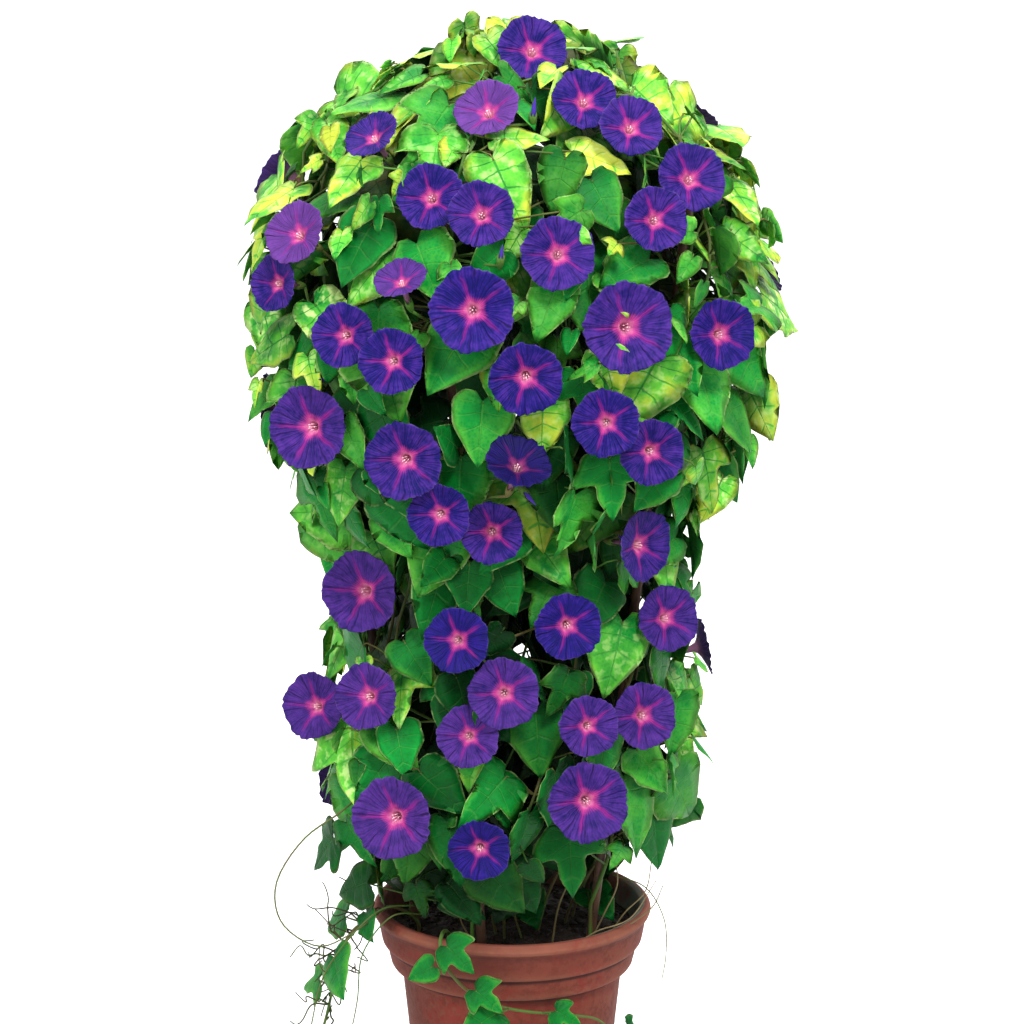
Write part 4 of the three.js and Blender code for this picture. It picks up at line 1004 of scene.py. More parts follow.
class Gathered:
    """Many small surfaces gathered into one mesh, with the vectors "spot" and "tone" at every point."""

    def __init__(self):
        self.points, self.spots, self.tones, self.faces, self.count = [], [], [], {3: [], 4: []}, 0
        self.finish = {3: [], 4: []}

    def add(self, points, spots, tones, faces, finish=0):
        """points (copies, n, 3) in millimetres. faces are index arrays into one copy's n points."""
        copies, n = points.shape[:2]
        self.points.append(points.reshape(-1, 3))
        self.spots.append(np.broadcast_to(spots, points.shape).reshape(-1, 3))
        self.tones.append(np.broadcast_to(tones, points.shape).reshape(-1, 3))
        starts = self.count + n * np.arange(copies)[:, None, None]
        for face in faces:
            size = face.shape[1]
            self.faces[size].append((face[None] + starts).reshape(-1, size))
            self.finish[size].append(np.full(len(face) * copies, finish))
        self.count += copies * n

    def build(self, name, finishes, replaces=()):
        """The mesh as an object that rides on the root, in metres, smooth and finishes."""
        points = np.concatenate(self.points) * MM
        sets = {size: np.concatenate(found) for size, found in self.faces.items() if found}
        mesh = bpy.data.meshes.new(name)
        corners = np.concatenate([faces.ravel() for faces in sets.values()])
        totals = np.concatenate([np.full(len(faces), size) for size, faces in sets.items()])
        mesh.vertices.add(len(points))
        mesh.vertices.foreach_set("co", points.ravel())
        mesh.loops.add(len(corners))
        mesh.loops.foreach_set("vertex_index", corners)
        mesh.polygons.add(len(totals))
        mesh.polygons.foreach_set("loop_start", np.concatenate([[0], np.cumsum(totals)[:-1]]))
        mesh.polygons.foreach_set("loop_total", totals)
        kinds = np.concatenate([np.concatenate(self.finish[size]) for size in sets])
        for finish in finishes:
            mesh.materials.append(finish)
        mesh.polygons.foreach_set("material_index", kinds)
        mesh.polygons.foreach_set("use_smooth", np.ones(len(totals), bool))
        for key, values in (("spot", self.spots), ("tone", self.tones)):
            layer = mesh.attributes.new(key, "FLOAT_VECTOR", "POINT")
            layer.data.foreach_set("vector", np.concatenate(values).astype(np.float32).ravel())
        mesh.update()
        mesh.validate()
        piece = bpy.data.objects.new(name, mesh)
        bpy.context.scene.collection.objects.link(piece)
        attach(piece, "root")
        if replaces:
            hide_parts(*replaces)
        return piece


def tubes(paths, radii, sides):
    """Round tubes along paths (copies, rings, 3): each ring stands square to the path and is carried along
    with the least turn. A point closes each end. Returns points, rings' shares, and faces."""
    paths = np.asarray(paths, float)
    copies, rings = paths.shape[:2]
    radii = np.broadcast_to(radii, (copies, rings))
    ahead = unit(np.gradient(paths, axis=1) + 1e-9)
    side = np.cross(ahead[:, 0], (0.31, 0.52, 0.79))
    frames = []
    for i in range(rings):
        side = unit(side - ahead[:, i] * np.sum(side * ahead[:, i], -1, keepdims=True))
        frames.append((side, np.cross(ahead[:, i], side)))
    u, v = (np.stack([fr[k] for fr in frames], 1)[:, :, None] for k in (0, 1))
    angles = 2 * np.pi * np.arange(sides)[:, None] / sides
    body = paths[:, :, None] + (u * np.cos(angles) + v * np.sin(angles)) * radii[..., None, None]
    points = np.concatenate([body.reshape(copies, -1, 3), paths[:, :1], paths[:, -1:]], 1)
    spots = np.zeros((rings * sides + 2, 3))
    spots[:-2, 0] = np.repeat(np.linspace(0, 1, rings), sides)
    spots[-1, 0] = 1
    return points, spots, ring_faces(rings, sides)


def bent(stops, rings, ease=0.5):
    """Smooth paths (copies, rings, 3) through three stops each: a quadratic curve pulled towards the middle."""
    a, m, b = (stops[:, k, None] for k in range(3))
    t = np.linspace(0, 1, rings)[:, None]
    hold = m + (m - (a + b) / 2) * ease
    return a * (1 - t) ** 2 + hold * 2 * t * (1 - t) + b * t ** 2


# Where the rows of a blade leave its midrib, for each point of the half outline, as shares of its length.
HEART_RIBS = (0, 0, 0.05, 0.22, 0.52, 1)
LOBED_RIBS = (0, 0, 0.03, 0.1, 0.3, 0.56, 1)


class Blade:
    """A blade's grid: rows from the notch to the tip, columns from margin to margin, both faces, one tip point."""

    def __init__(self, lobed, per_step, columns):
        half = (*(LOBED if lobed else HEART), (1, 0))
        ribs = LOBED_RIBS if lobed else HEART_RIBS
        rows = (len(half) - 1) * per_step
        s = np.arange(rows) / rows
        outline, rib = smooth_lookup(half, s), smooth_lookup(np.array(ribs)[:, None], s)
        t = np.linspace(-1, 1, 2 * columns + 1)
        out = np.abs(t)[None]
        u = rib * (1 - out) + outline[:, :1] * out
        v = outline[:, 1:] * t[None]
        count = len(t)
        top = np.arange(rows * count).reshape(rows, count)
        inside = np.zeros(top.shape, bool)
        inside[1:, 1:-1] = True
        under = top.copy()
        under[inside] = rows * count + 1 + np.arange(inside.sum())
        tip = rows * count
        grid = quads(rows, count)
        ends = np.stack([top[-1, :-1], np.full(count - 1, tip), top[-1, 1:]], 1)
        ends_under = np.stack([under[-1, :-1], under[-1, 1:], np.full(count - 1, tip)], 1)
        self.faces = [grid, under.ravel()[grid][:, ::-1], ends, ends_under]
        edge = inside.ravel()
        self.u = np.concatenate([u.ravel(), [1.0], u.ravel()[edge]])
        self.v = np.concatenate([v.ravel(), [0.0], v.ravel()[edge]])
        run, across = np.repeat(s, count), np.tile(t, rows)
        self.run = np.concatenate([run, [1.0], run[edge]])
        self.across = np.concatenate([across, [0.0], across[edge]])
        self.face = np.concatenate([edge * 1.0, [0.0], -np.ones(edge.sum())])

    def points(self, root, heading, normal, length, fold, wave, phase, slim, thickness):
        """A blade's formula. Along the heading and across it go the outline's shares of the length, the second
        times slim, more on one side than on the other, with a ragged margin. Its height is the droop, plus fold
        times the way out, plus waves that grow towards the margin and curl the tip, plus a sunken midrib,
        plus or minus half the thickness."""
        across = np.cross(normal, heading)
        u, n, p, w = self.u[None], length[:, None], phase[:, None], wave[:, None]
        out, sign = np.abs(self.across)[None], np.sign(self.across)[None]
        ragged = 1 + w * 2.2 * np.sin(self.run * 23 + sign * p) * out ** 4
        v = self.v[None] * slim[:, None] * (1 + 0.09 * sign * np.sin(p)) * ragged
        ripple = w * out ** 2 * (np.sin(self.run * 15 + sign * 1.3 + p) + 0.5 * np.sin(self.run * 31 + sign * 2 * p))
        curl = w * 2.5 * np.maximum(u - 0.4, 0) * np.sin(3 * p) + w * 1.2 * self.v * np.cos(u * 4 + p)
        rib = -0.012 * np.exp(-(out / 0.12) ** 2) + 0.014 * np.cos(self.run * 2 * np.pi * 6) * out * (1 - out)
        height = blade_droop(u, v, n) + n * (fold[:, None] * np.abs(v) + ripple + curl + rib)
        height = height + self.face * thickness / 2 * np.maximum(1 - out ** 4, 0.15)
        place = heading[:, None] * (u * n)[..., None] + across[:, None] * (v * n)[..., None]
        return root[:, None] + place + normal[:, None] * height[..., None]

    def spots(self):
        return np.stack([self.run, self.across, self.face < 0], -1)


@lru_cache(maxsize=None)
def blade(lobed, fine):
    return Blade(lobed, 4 if fine else 2, 5 if fine else 2)


# How far leaves fold up along the midrib, how large their waves are, as a share of their length, and how wide
# the inner ones are.
FINE_FOLDS, INNER_FOLDS = (-0.04, 0.12), (-0.1, 0.45)
WAVES = (0.008, 0.026)
INNER_WIDTHS = (0.72, 1.06)


def add_leaves(sheaf, leaves, fine, rng):
    """Blades and their stalks. Leaves are namespaces with root, heading, normal, length, lobed, stops, yellow
    and light."""
    look = settings("glory_leaf")
    for lobed in (False, True):
        group = [leaf for leaf in leaves if bool(leaf.lobed) == lobed]
        if not group:
            continue
        root, heading, normal, length = fields(group, "root", "heading", "normal", "length")
        form = blade(lobed, fine)
        n = len(group)
        fold = rng.uniform(*(FINE_FOLDS if fine else INNER_FOLDS), n)
        wave = rng.uniform(*WAVES, n)
        phase = rng.uniform(0, 6.28, n)
        slim = np.ones(n) if fine else rng.uniform(*INNER_WIDTHS, n)
        points = form.points(root, heading, normal, length, fold, wave, phase, slim, look.thickness / MM)
        tones = np.stack([*fields(group, "yellow", "light"), rng.uniform(0, 1, n)], -1)
        sheaf.add(points, form.spots(), tones[:, None], form.faces, 0)
    if not leaves:
        return
    starts = np.array([leaf.stops[0] for leaf in leaves])
    ends = np.array([leaf.stops[-1] + leaf.heading * 2 for leaf in leaves])
    middles = np.array([leaf.stops[1] if len(leaf.stops) == 3 else (leaf.stops[0] + leaf.stops[1]) / 2
                        for leaf in leaves])
    runs = np.linalg.norm(ends - starts, axis=1)[:, None]
    sag = np.array([len(leaf.stops) == 2 for leaf in leaves])[:, None] * runs * 0.03 * -UP
    paths = bent(np.stack([starts, middles + sag, ends], 1), 7 if fine else 4, 0.4)
    shares = np.linspace(0, 1, paths.shape[1])
    radii = look.petiole / MM * (1.1 - 0.3 * shares)
    points, spots, faces = tubes(paths, radii, 6 if fine else 4)
    count = len(leaves)
    tones = np.stack([rng.uniform(0, 0.1, count), *fields(leaves, "light"), rng.uniform(0, 1, count)], -1)
    sheaf.add(points, spots, tones[:, None], faces, 1)


# A flower's profile from the foot of its tube out to its edge, and back over its face into the throat: reach
# as a share of the radius, reach in millimetres, and depth as a share of the radius.
COROLLA_OUTSIDE = (
    (0, 2.3, 1.25), (0, 2.35, 1.05), (.02, 2.2, .8), (.1, .6, .52), (.19, 0, .33), (.33, 0, .235), (.52, 0, .155),
    (.72, 0, .085), (.88, 0, .035), (.97, 0, .008), (1, 0, 0),
)
COROLLA_INSIDE = (
    (.97, 0, .008), (.88, 0, .035), (.72, 0, .085), (.52, 0, .152), (.33, 0, .228), (.21, 0, .29), (.13, 0, .4),
    (.07, 0, .6),
)
COROLLA_SIDES = 90
PETAL_THICKNESS = 0.55
THROAT_FLOOR = 0.66


def corolla(radius, frill, notch, phase):
    """A flower's grid in its own frame (side, other, axis), in millimetres, for several flowers at once.
    Rows run up the tube's outside, out to the edge, then back in over the face to a point in the throat.
    The radius is a share of the flower's, times one plus the lobes, which go by the cosine of five times the
    angle, with smaller waves of 13 and 31 times the angle, less a nick at each ray. The depth is a share of the
    radius plus five pleats, a frill and a bend by the cosine of twice the angle."""
    table = np.array(COROLLA_OUTSIDE + COROLLA_INSIDE)
    turn = np.arange(COROLLA_SIDES) / COROLLA_SIDES
    theta = 2 * np.pi * turn[None, None]
    size = radius[:, None, None]
    share = table[None, :, 0, None] + table[None, :, 1, None] / size
    out = np.clip((share - 0.25) / 0.75, 0, 1)
    from_ray = np.abs(np.mod(turn * 5 + 0.5, 1) - 0.5)[None, None]
    nick = 0.045 * np.exp(-(from_ray / 0.045) ** 2) * out ** 6
    seed = phase[:, None, None]
    lobes = notch * np.cos(5 * theta) * out ** 3 + 0.014 * np.sin(13 * theta + seed) * out ** 4 - nick
    lobes = lobes + 0.010 * np.sin(31 * theta + 2.3 * seed) * (1 + np.sin(4 * theta + seed)) * out ** 6
    reach = size * share * (1 + lobes)
    pleat = 0.020 * np.exp(-(from_ray / 0.07) ** 2) * np.sin(np.pi * out) - 0.012 * np.cos(5 * theta) * out
    waves = np.sin(17 * theta + seed) + 0.6 * np.sin(29 * theta + 2.1 * seed)
    warp = 0.04 * np.cos(2 * theta + 3 * seed) * out ** 2
    depth = table[None, :, 2, None] + pleat + frill[:, None, None] * waves * out ** 4 * 0.5 + warp
    face = np.arange(len(table)) >= len(COROLLA_OUTSIDE)
    height = -size * depth + face[None, :, None] * PETAL_THICKNESS
    local = np.stack([reach * np.cos(theta), reach * np.sin(theta), height], -1)
    pole = np.zeros((len(radius), 1, 3))
    pole[:, 0, 2] = -radius * THROAT_FLOOR
    base = pole.copy()
    base[:, 0, 2] = -radius * COROLLA_OUTSIDE[0][2]
    points = np.concatenate([local.reshape(len(radius), -1, 3), base, pole], 1)
    spots = np.zeros((len(table), COROLLA_SIDES, 3))
    spots[..., 0] = table[:, :1]
    spots[..., 1] = turn
    spots[: len(COROLLA_OUTSIDE) - 1, :, 2] = 1
    spots = np.concatenate([spots.reshape(-1, 3), [[0, 0, 1], [0, 0, 0]]])
    return points, spots, ring_faces(len(table), COROLLA_SIDES)


def bead(rows=6, columns=8):
    """A unit ball as rings by cosine and sine, with a point at each end."""
    up = np.linspace(-np.pi / 2, np.pi / 2, rows + 2)[1:-1, None]
    round_ = 2 * np.pi * np.arange(columns)[None] / columns
    rings = polar(np.cos(up), round_, np.sin(up))
    points = np.concatenate([rings.reshape(-1, 3), [[0, 0, -1], [0, 0, 1]]])
    return points, ring_faces(rows, columns)


def in_frames(local, centre, side, axis):
    """Local points (copies, n, 3) on the axes (side, axis x side, axis) about each centre."""
    other = np.cross(axis, side)
    basis = np.stack([side, other, axis], 1)
    return centre[:, None] + np.einsum("cnk,ckj->cnj", local, basis)


# The pistil and the stamens round it: the stamens' circle, how deep all start, and how deep each ends, as shares
# of the flower's radius. Then the radii of their tips, in millimetres.
STAMENS = 5
STAMEN_CIRCLE, STAMEN_FOOT = 0.05, 0.62
STAMEN_TIPS = (0.16, 0.25, 0.21, 0.27, 0.22, 0.24)
PISTIL_TIP, STAMEN_TIP = 0.8, 0.55


def add_flowers(sheaf, blooms, tones, frills, rng):
    """Corollas, each with a pistil and five stamens."""
    look = settings("glory_flower")
    centre, side, axis, radius = fields(blooms, "centre", "side", "axis", "radius")
    phase = rng.uniform(0, 6.28, len(blooms))
    points, spots, faces = corolla(radius, look.frill * frills, look.notch, phase)
    sheaf.add(in_frames(points, centre, side, axis), spots, tones[:, None], faces)
    angles = 2 * np.pi * (np.arange(STAMENS) + 0.5) / STAMENS
    foot = np.zeros((STAMENS + 1, 3))
    foot[1:] = polar(STAMEN_CIRCLE, angles, 0)
    foot[:, 2] = -STAMEN_FOOT
    head = foot * (1.5, 1.5, 0)
    head[:, 2] = [-depth for depth in STAMEN_TIPS]
    shares = np.linspace(0, 1, 4)[:, None]
    threads = foot[:, None] + (head - foot)[:, None] * shares
    ball, ball_faces = bead(4, 6)
    scale = np.array([PISTIL_TIP] + [STAMEN_TIP] * STAMENS)[:, None, None]
    for i in range(STAMENS + 1):
        path = in_frames(threads[i][None] * radius[:, None, None], centre, side, axis)
        thread, _, thread_faces = tubes(path, THREAD_RADIUS, 4)
        sheaf.add(thread, STAMEN_SPOT, tones[:, None], thread_faces)
        tips = in_frames(head[i][None, None] * radius[:, None, None] + ball * scale[i], centre, side, axis)
        sheaf.add(tips, STAMEN_SPOT, tones[:, None], ball_faces)


# A calyx: rings of its cup by share of its length and reach, then those of its sepals by reach and rise.
CALYX_SIDES = 20
CALYX_CUP = ((0, 1.4), (.15, 2.2), (.4, 3.3), (.75, 3.9), (1, 3.8))
CALYX_SEPALS = ((3.7, 3.0), (3.0, 5.5), (2.55, 5.2), (2.45, 0.5))
STALK_RADIUS, STALK_SWELL = 1.25, 0.25


def add_calyxes(sheaf, blooms, rng):
    """Stalks, and calyxes of five sepals: rings that widen by a table, whose last ring rises into five lobes."""
    theta = 2 * np.pi * np.arange(CALYX_SIDES) / CALYX_SIDES
    lobe = np.maximum(np.cos(5 * theta), 0)
    rings = [polar(reach, theta, (share - 1) * CALYX_LENGTH) for share, reach in CALYX_CUP]
    rings += [polar(reach + 0.25 * lobe, theta, rise * lobe) for reach, rise in CALYX_SEPALS]
    local = np.concatenate([*rings, [[0, 0, -CALYX_LENGTH]], [[0, 0, 0.3]]])
    calyx, neck, side, axis = fields(blooms, "calyx", "neck", "side", "axis")
    count = len(blooms)
    tones = np.stack([rng.uniform(0, 0.12, count), np.full(count, 0.85), rng.uniform(0, 1, count)], 1)
    sheaf.add(in_frames(np.broadcast_to(local, (count, *local.shape)), calyx, side, axis),
              NO_SPOT, tones[:, None], ring_faces(len(rings), CALYX_SIDES), 1)
    starts, ends = np.array([b.socket.point for b in blooms]), neck + axis
    middles = (starts + ends) / 2 - UP * np.linalg.norm(ends - starts, axis=1)[:, None] * 0.03
    paths = bent(np.stack([starts, middles, ends], 1), 7, 0.4)
    points, spots, faces = tubes(paths, STALK_RADIUS + STALK_SWELL * np.linspace(0, 1, 7), 6)
    sheaf.add(points, spots, tones[:, None], faces, 1)


SHOOTS = 14
SHOOT_FOOT = SOIL_TOP - 10
SHOOT_TOPS = (620, 1085)
SHOOT_RADIUS = 1.6


def side_shoots(rng):
    """Thin stems that climb inside the canopy: the angle drifts by a sine of the height, and the radius follows
    the canopy's, some way in."""
    paths = []
    for i in range(SHOOTS):
        share = np.linspace(0, 1, 60)
        top = rng.uniform(*SHOOT_TOPS)
        start, inset = rng.uniform(30, 95), rng.uniform(22, 60)
        height = SHOOT_FOOT + share * (top - SHOOT_FOOT)
        drift = i * 2 * math.pi / SHOOTS + rng.uniform(-0.2, 0.2) + 0.35 * np.sin(share * rng.uniform(3, 7) + i)
        reach = np.maximum(canopy_radius(np.maximum(height, 300)) - inset, 12)
        rise = np.clip((height - SHOOT_FOOT) / 160, 0, 1)
        rise = rise * rise * (3 - 2 * rise)
        wobble = 5 * np.sin(height / rng.uniform(18, 28) + i)
        paths.append(polar(start + (reach - start) * rise + wobble * rise, drift, height))
    return np.array(paths)


# Shaded hollows of the front: across, up, radius, light.
HOLLOWS = (
    (-20, 570, 58, .25), (-8, 500, 46, .3), (-112, 772, 40, .5), (-72, 290, 74, .25), (22, 320, 48, .35),
    (56, 494, 34, .3), (-62, 388, 34, .4), (58, 766, 36, .6), (-122, 560, 30, .35), (52, 600, 36, .35),
)


# Leaves grow darker from this height down to this one, where this share of the light is left.
SHADE_FROM, SHADE_TO, SHADE_LIGHT = 392, 262, 0.36


def hollow_light(point):
    """Light that reaches a leaf: less in the hollows of the front and near the soil."""
    lift = (point[2] - SHADE_TO) / (SHADE_FROM - SHADE_TO)
    light = SHADE_LIGHT + (1 - SHADE_LIGHT) * min(max(lift, 0), 1)
    if point[1] < 0:
        for across, up, radius, share in HOLLOWS:
            away = ((point[0] - across) ** 2 + (point[2] - up) ** 2) / radius ** 2
            light *= 1 - (1 - share) * math.exp(-away)
    return light


# Shells of leaves within the canopy: share of all, depth below its surface, length, light.
SHELLS = (
    (0.38, (-14, 8), (46, 84), 1.0), (0.25, (-42, -18), (50, 84), 0.34), (0.25, (-84, -46), (55, 92), 0.06),
    (0.12, (-4, 18), (22, 40), 1.1),
)
SMALL_LEAF = 45
DEEP_LIGHT = 0.2
# Below this height no leaf hides the soil at the front, between these angles.
OPEN_BELOW, OPEN_ANGLES = 335, (-1.3, 0.3)
# Dim leaves over the soil: x, y, height, length, heading as seen, lobed, light.
LOW_LEAVES = (
    (-70, -76, 262, 60, -100, 0, .45), (-4, -92, 266, 56, -112, 1, .9), (50, -84, 262, 54, -80, 0, .4),
    (-108, -48, 264, 48, -150, 0, .4), (14, -56, 262, 50, -60, 0, .3), (88, -44, 262, 44, -50, 0, .35),
    (-34, -60, 260, 46, -120, 0, .3),
)


# Half an outline for the tests of the inner leaves, as shares of their length.
THIN_HALF = ((0, 0.02), (-0.14, 0.3), (0.2, 0.46), (0.64, 0.21), (1, 0))


def thin_leaf(centre, normal, heading, size, lobed):
    """A leaf about a point, with a fan of triangles about its middle to keep it clear of the others."""
    root = centre - heading * 0.42 * size
    across = np.cross(normal, heading)
    half = np.array(THIN_HALF)
    u, v = np.concatenate([half, half[-2:0:-1] * (1, -1)]).T
    rim = root + np.outer(u * size, heading) + np.outer(v * size, across) + np.outer(blade_droop(u, v, size), normal)
    middle = np.broadcast_to(root + heading * 0.3 * size, rim.shape)
    rim2 = np.roll(rim, -1, 0)
    return bounded(SimpleNamespace(kind="leaf", root=root, heading=heading, normal=normal, length=size, lobed=lobed,
                                   sights=NONE, faces=np.stack([middle, rim, rim2], 1),
                                   edges=np.stack([rim, rim2], 1)), [])


def in_flower(leaf, blooms):
    """True if a point of a leaf's rim lies between the flat front of a flower and the cone behind it."""
    centre, axis, radius = fields(blooms, "centre", "axis", "radius")
    offset = leaf.edges[:, None, 0] - centre
    deep = -np.sum(offset * axis, -1)
    away = np.linalg.norm(offset + deep[..., None] * axis, axis=-1) / radius
    return bool(np.any((away < 0.97) & (deep > -1) & (deep < BLOOM_DEPTH * radius * (1 - away) + 2)))


def extra_leaves(placed, shoots, rng):
    """Leaves on four shells of the canopy, spread evenly over its area, tips down like shingles, and a few over
    the soil. Each is kept only if it clears everything placed, and hangs from the nearest stem."""
    height = np.linspace(CANOPY[0, 0] + 14, CANOPY[-1, 0], 400)
    radius = canopy_radius(height)
    steps = np.hypot(np.diff(height), np.diff(radius)) * (radius[1:] + radius[:-1] + 60)
    area = np.concatenate([[0], np.cumsum(steps)]) / steps.sum()
    holds = [(path[2:], f"vine_{i + 1}") for i, path in enumerate(STEMS)]
    angles = np.arctan2([p[20, 1] for p, _ in holds], [p[20, 0] for p, _ in holds])
    for path in shoots:
        gap = np.abs(np.angle(np.exp(1j * (angles - math.atan2(path[40, 1], path[40, 0])))))
        holds.append((path[10:], f"vine_{int(np.argmin(gap)) + 1}"))
    points = np.concatenate([path for path, _ in holds])
    nodes = np.repeat([int(node[-1]) for _, node in holds], [len(path) for path, _ in holds])
    wanted = settings("glory_leaf").extra
    found = []
    index = 0

    def hang(leaf):
        offset = points - leaf.root
        best = int(np.argmin(np.linalg.norm(offset, axis=1) + 0.5 * np.abs(offset[:, 2] + 18)))
        leaf.socket = SimpleNamespace(point=points[best], node=f"vine_{nodes[best]}", index=None)
        leaf.stops = [points[best], leaf.root - leaf.heading * 7 - leaf.normal * 5, leaf.root]
        placed.add(leaf)
        found.append(leaf)

    for part, depths, lengths, light in SHELLS:
        goal, tries = len(found) + int(wanted * part), 0
        while len(found) < goal and tries < wanted * part * 5:
            tries += 1
            index += 1
            level = float(np.interp((index * 0.7548777) % 1, area, height))
            angle = index * GOLDEN_ANGLE + rng.uniform(-0.1, 0.1)
            open_side = level < OPEN_BELOW and OPEN_ANGLES[0] < math.remainder(angle, 2 * math.pi) < OPEN_ANGLES[1]
            if open_side or (lengths[1] < SMALL_LEAF and level < 900 and index % 4):
                continue
            size, depth = rng.uniform(*lengths), rng.uniform(*depths) - 0.16 * max(level - 990, 0)
            centre = polar(max(canopy_radius(level) + depth, 6), angle, level)
            face = outward(centre, 0)
            lean = rng.uniform(-10, 46) - 38 * max(face[2], 0)
            deep = light < DEEP_LIGHT
            stray = 180 if deep else 80
            yaw = rng.uniform(-stray, stray) if deep or rng.uniform() < 0.3 else rng.normal(0, 34)
            normal = aimed(face, yaw, lean)
            heading = turned(unit(normal * normal[2] - UP), normal, rng.normal(0, 42))
            lobed = rng.uniform() < 0.25
            leaf = thin_leaf(centre, normal, heading, size, lobed)
            if placed.clear(leaf):
                hang(leaf)
                leaf.light = light * rng.uniform(0.7, 1.1) * hollow_light(centre)
    for x, y, level, size, seen, lobed, light in LOW_LEAVES:
        for lift in (0, 6, 12, 20):
            centre = np.array([x, y, level + lift], float)
            normal = unit(unit(EYE - centre) + UP * 1.2)
            leaf = thin_leaf(centre, normal, heading_seen(normal, centre, seen), size, lobed)
            if placed.clear(leaf):
                hang(leaf)
                leaf.light, leaf.yellow = light, 0.3
                break
    blooms = [item for item in placed.items if item.kind == "bloom"]
    return [leaf for leaf in found if not in_flower(leaf, blooms)]


# Leaves grow yellower from the first of these heights to the second.
YELLOW_HEIGHTS = (760, 1100)
TRAIL_YELLOW, USUAL_YELLOW, TOP_YELLOW = 0.36, 0.34, 0.22


def tinted(leaves, rng):
    """Yellowness by height and by chance, for leaves that have none yet, and light where none is set."""
    low, high = YELLOW_HEIGHTS
    for leaf in leaves:
        lift = min(max((leaf.root[2] - low) / (high - low), 0), 1)
        chance = rng.uniform(-0.14, 0.16) + (0.25 if rng.uniform() < 0.10 + 0.16 * lift else 0)
        reach = math.hypot(*leaf.root[:2])
        chance += 0.16 * (leaf.root[0] / max(reach, 1)) ** 4
        if leaf.socket.node in TRAILS:
            leaf.yellow, leaf.light = TRAIL_YELLOW + chance * 0.4, rng.uniform(0.6, 0.85)
        leaf.yellow = getattr(leaf, "yellow", USUAL_YELLOW + TOP_YELLOW * lift + chance)
        sunk = float(canopy_radius(leaf.root[2])) - reach
        shade = min(max(1.1 - sunk / 70, 0.4), 1.0) * hollow_light(leaf.root + leaf.heading * leaf.length * 0.4)
        leaf.light = getattr(leaf, "light", rng.uniform(0.66, 1.16) * shade) * (1 + 0.5 * max(leaf.yellow - 0.5, 0))


@lru_cache(maxsize=None)
def plan():
    """Everything's place, worked out once for all operators."""
    rng = np.random.default_rng(20)
    placed = lay_out()
    leaves = [item for item in placed.items if item.kind == "leaf"]
    for leaf in leaves:
        if hasattr(leaf, "yellow"):
            seen = leaf.root + leaf.heading * leaf.length * np.array([0.1, 0.4, 0.7])[:, None]
            gaze = unit(EYE - seen)
            leaf.sights = np.stack([seen + gaze * 2, seen + gaze * 150], 1)
    shoots = side_shoots(rng)
    extra = extra_leaves(placed, shoots, rng)
    tinted([*leaves, *extra], rng)
    blooms = [item for item in placed.items if item.kind == "bloom"]
    return SimpleNamespace(blooms=blooms, leaves=leaves, shoots=shoots, extra=extra)


# Paleness of the front's flowers that aren't of the usual violet, by number. Below 0 it paints shade over the flower.
FLOWER_TONES = {
    2: .6, 5: .12, 10: .62, 11: .12, 13: .4, 15: .15, 19: .02, 20: .2, 24: -.45, 26: .1, 27: .12, 28: .25, 29: -.05,
    30: .2, 31: -.12, 32: .26, 33: .28, 34: .26, 35: .28, 36: .22, 37: .24, 38: .22, 39: .3, 40: -.12,
}
FRILLED = {19: 2.2, 24: 1.8, 29: 2.0, 16: 1.5, 39: 1.4, 40: 1.6, 28: 1.4}


# ---- Operators ----------------------------------------------------------------------------------

class GLORY_OT_vines(bpy.types.Operator):
    """Makes the five twining leafy stems, with their leaves, calyxes and side shoots"""
    bl_idname = "glory.vines"
    bl_label = "Twining stems"

    def execute(self, context):
        layout = plan()
        finishes = [leaf_finish(), stem_finish()]
        for i in range(CANES):
            rng = np.random.default_rng(100 + i)
            node = f"vine_{i + 1}"
            sheaf = Gathered()
            path = stem_path(i, 3 * STEM_STEPS)
            ahead = np.linspace(0, 1, len(path))
            points, spots, faces = tubes(path[None], STEM_RADIUS * (1 - 0.25 * ahead ** 3), 8)
            sheaf.add(points, spots, np.array([0.05, 0.7, 0.5]), faces, 1)
            add_leaves(sheaf, [leaf for leaf in layout.leaves if leaf.socket.node == node], True, rng)
            add_leaves(sheaf, [leaf for leaf in layout.extra if leaf.socket.node == node], False, rng)
            add_calyxes(sheaf, [bloom for bloom in layout.blooms if bloom.socket.node == node], rng)
            shoots = layout.shoots[i::CANES]
            points, spots, faces = tubes(shoots, SHOOT_RADIUS, 6)
            sheaf.add(points, spots, np.array([0.15, 0.5, 0.5]), faces, 1)
            sheaf.build(f"leafy_stem_{i + 1}", finishes, [node])
        return {"FINISHED"}


class GLORY_OT_trails(bpy.types.Operator):
    """Makes the leafy stems that trail over the rim"""
    bl_idname = "glory.trails"
    bl_label = "Trailing stems"

    def execute(self, context):
        layout = plan()
        finishes = made("leaf_blade", "green_stem")
        for i, (name, (stops, _)) in enumerate(TRAILS.items()):
            rng = np.random.default_rng(200 + i)
            sheaf = Gathered()
            path = centripetal(stops, 60)
            points, spots, faces = tubes(path[None], np.linspace(STEM_RADIUS, 1.2, len(path)), 8)
            sheaf.add(points, spots, np.array([0.1, 0.8, 0.5]), faces, 1)
            add_leaves(sheaf, [leaf for leaf in layout.leaves if leaf.socket.node == name], True, rng)
            sheaf.build(name.replace("trail", "trailing_stem"), finishes, [name])
        return {"FINISHED"}


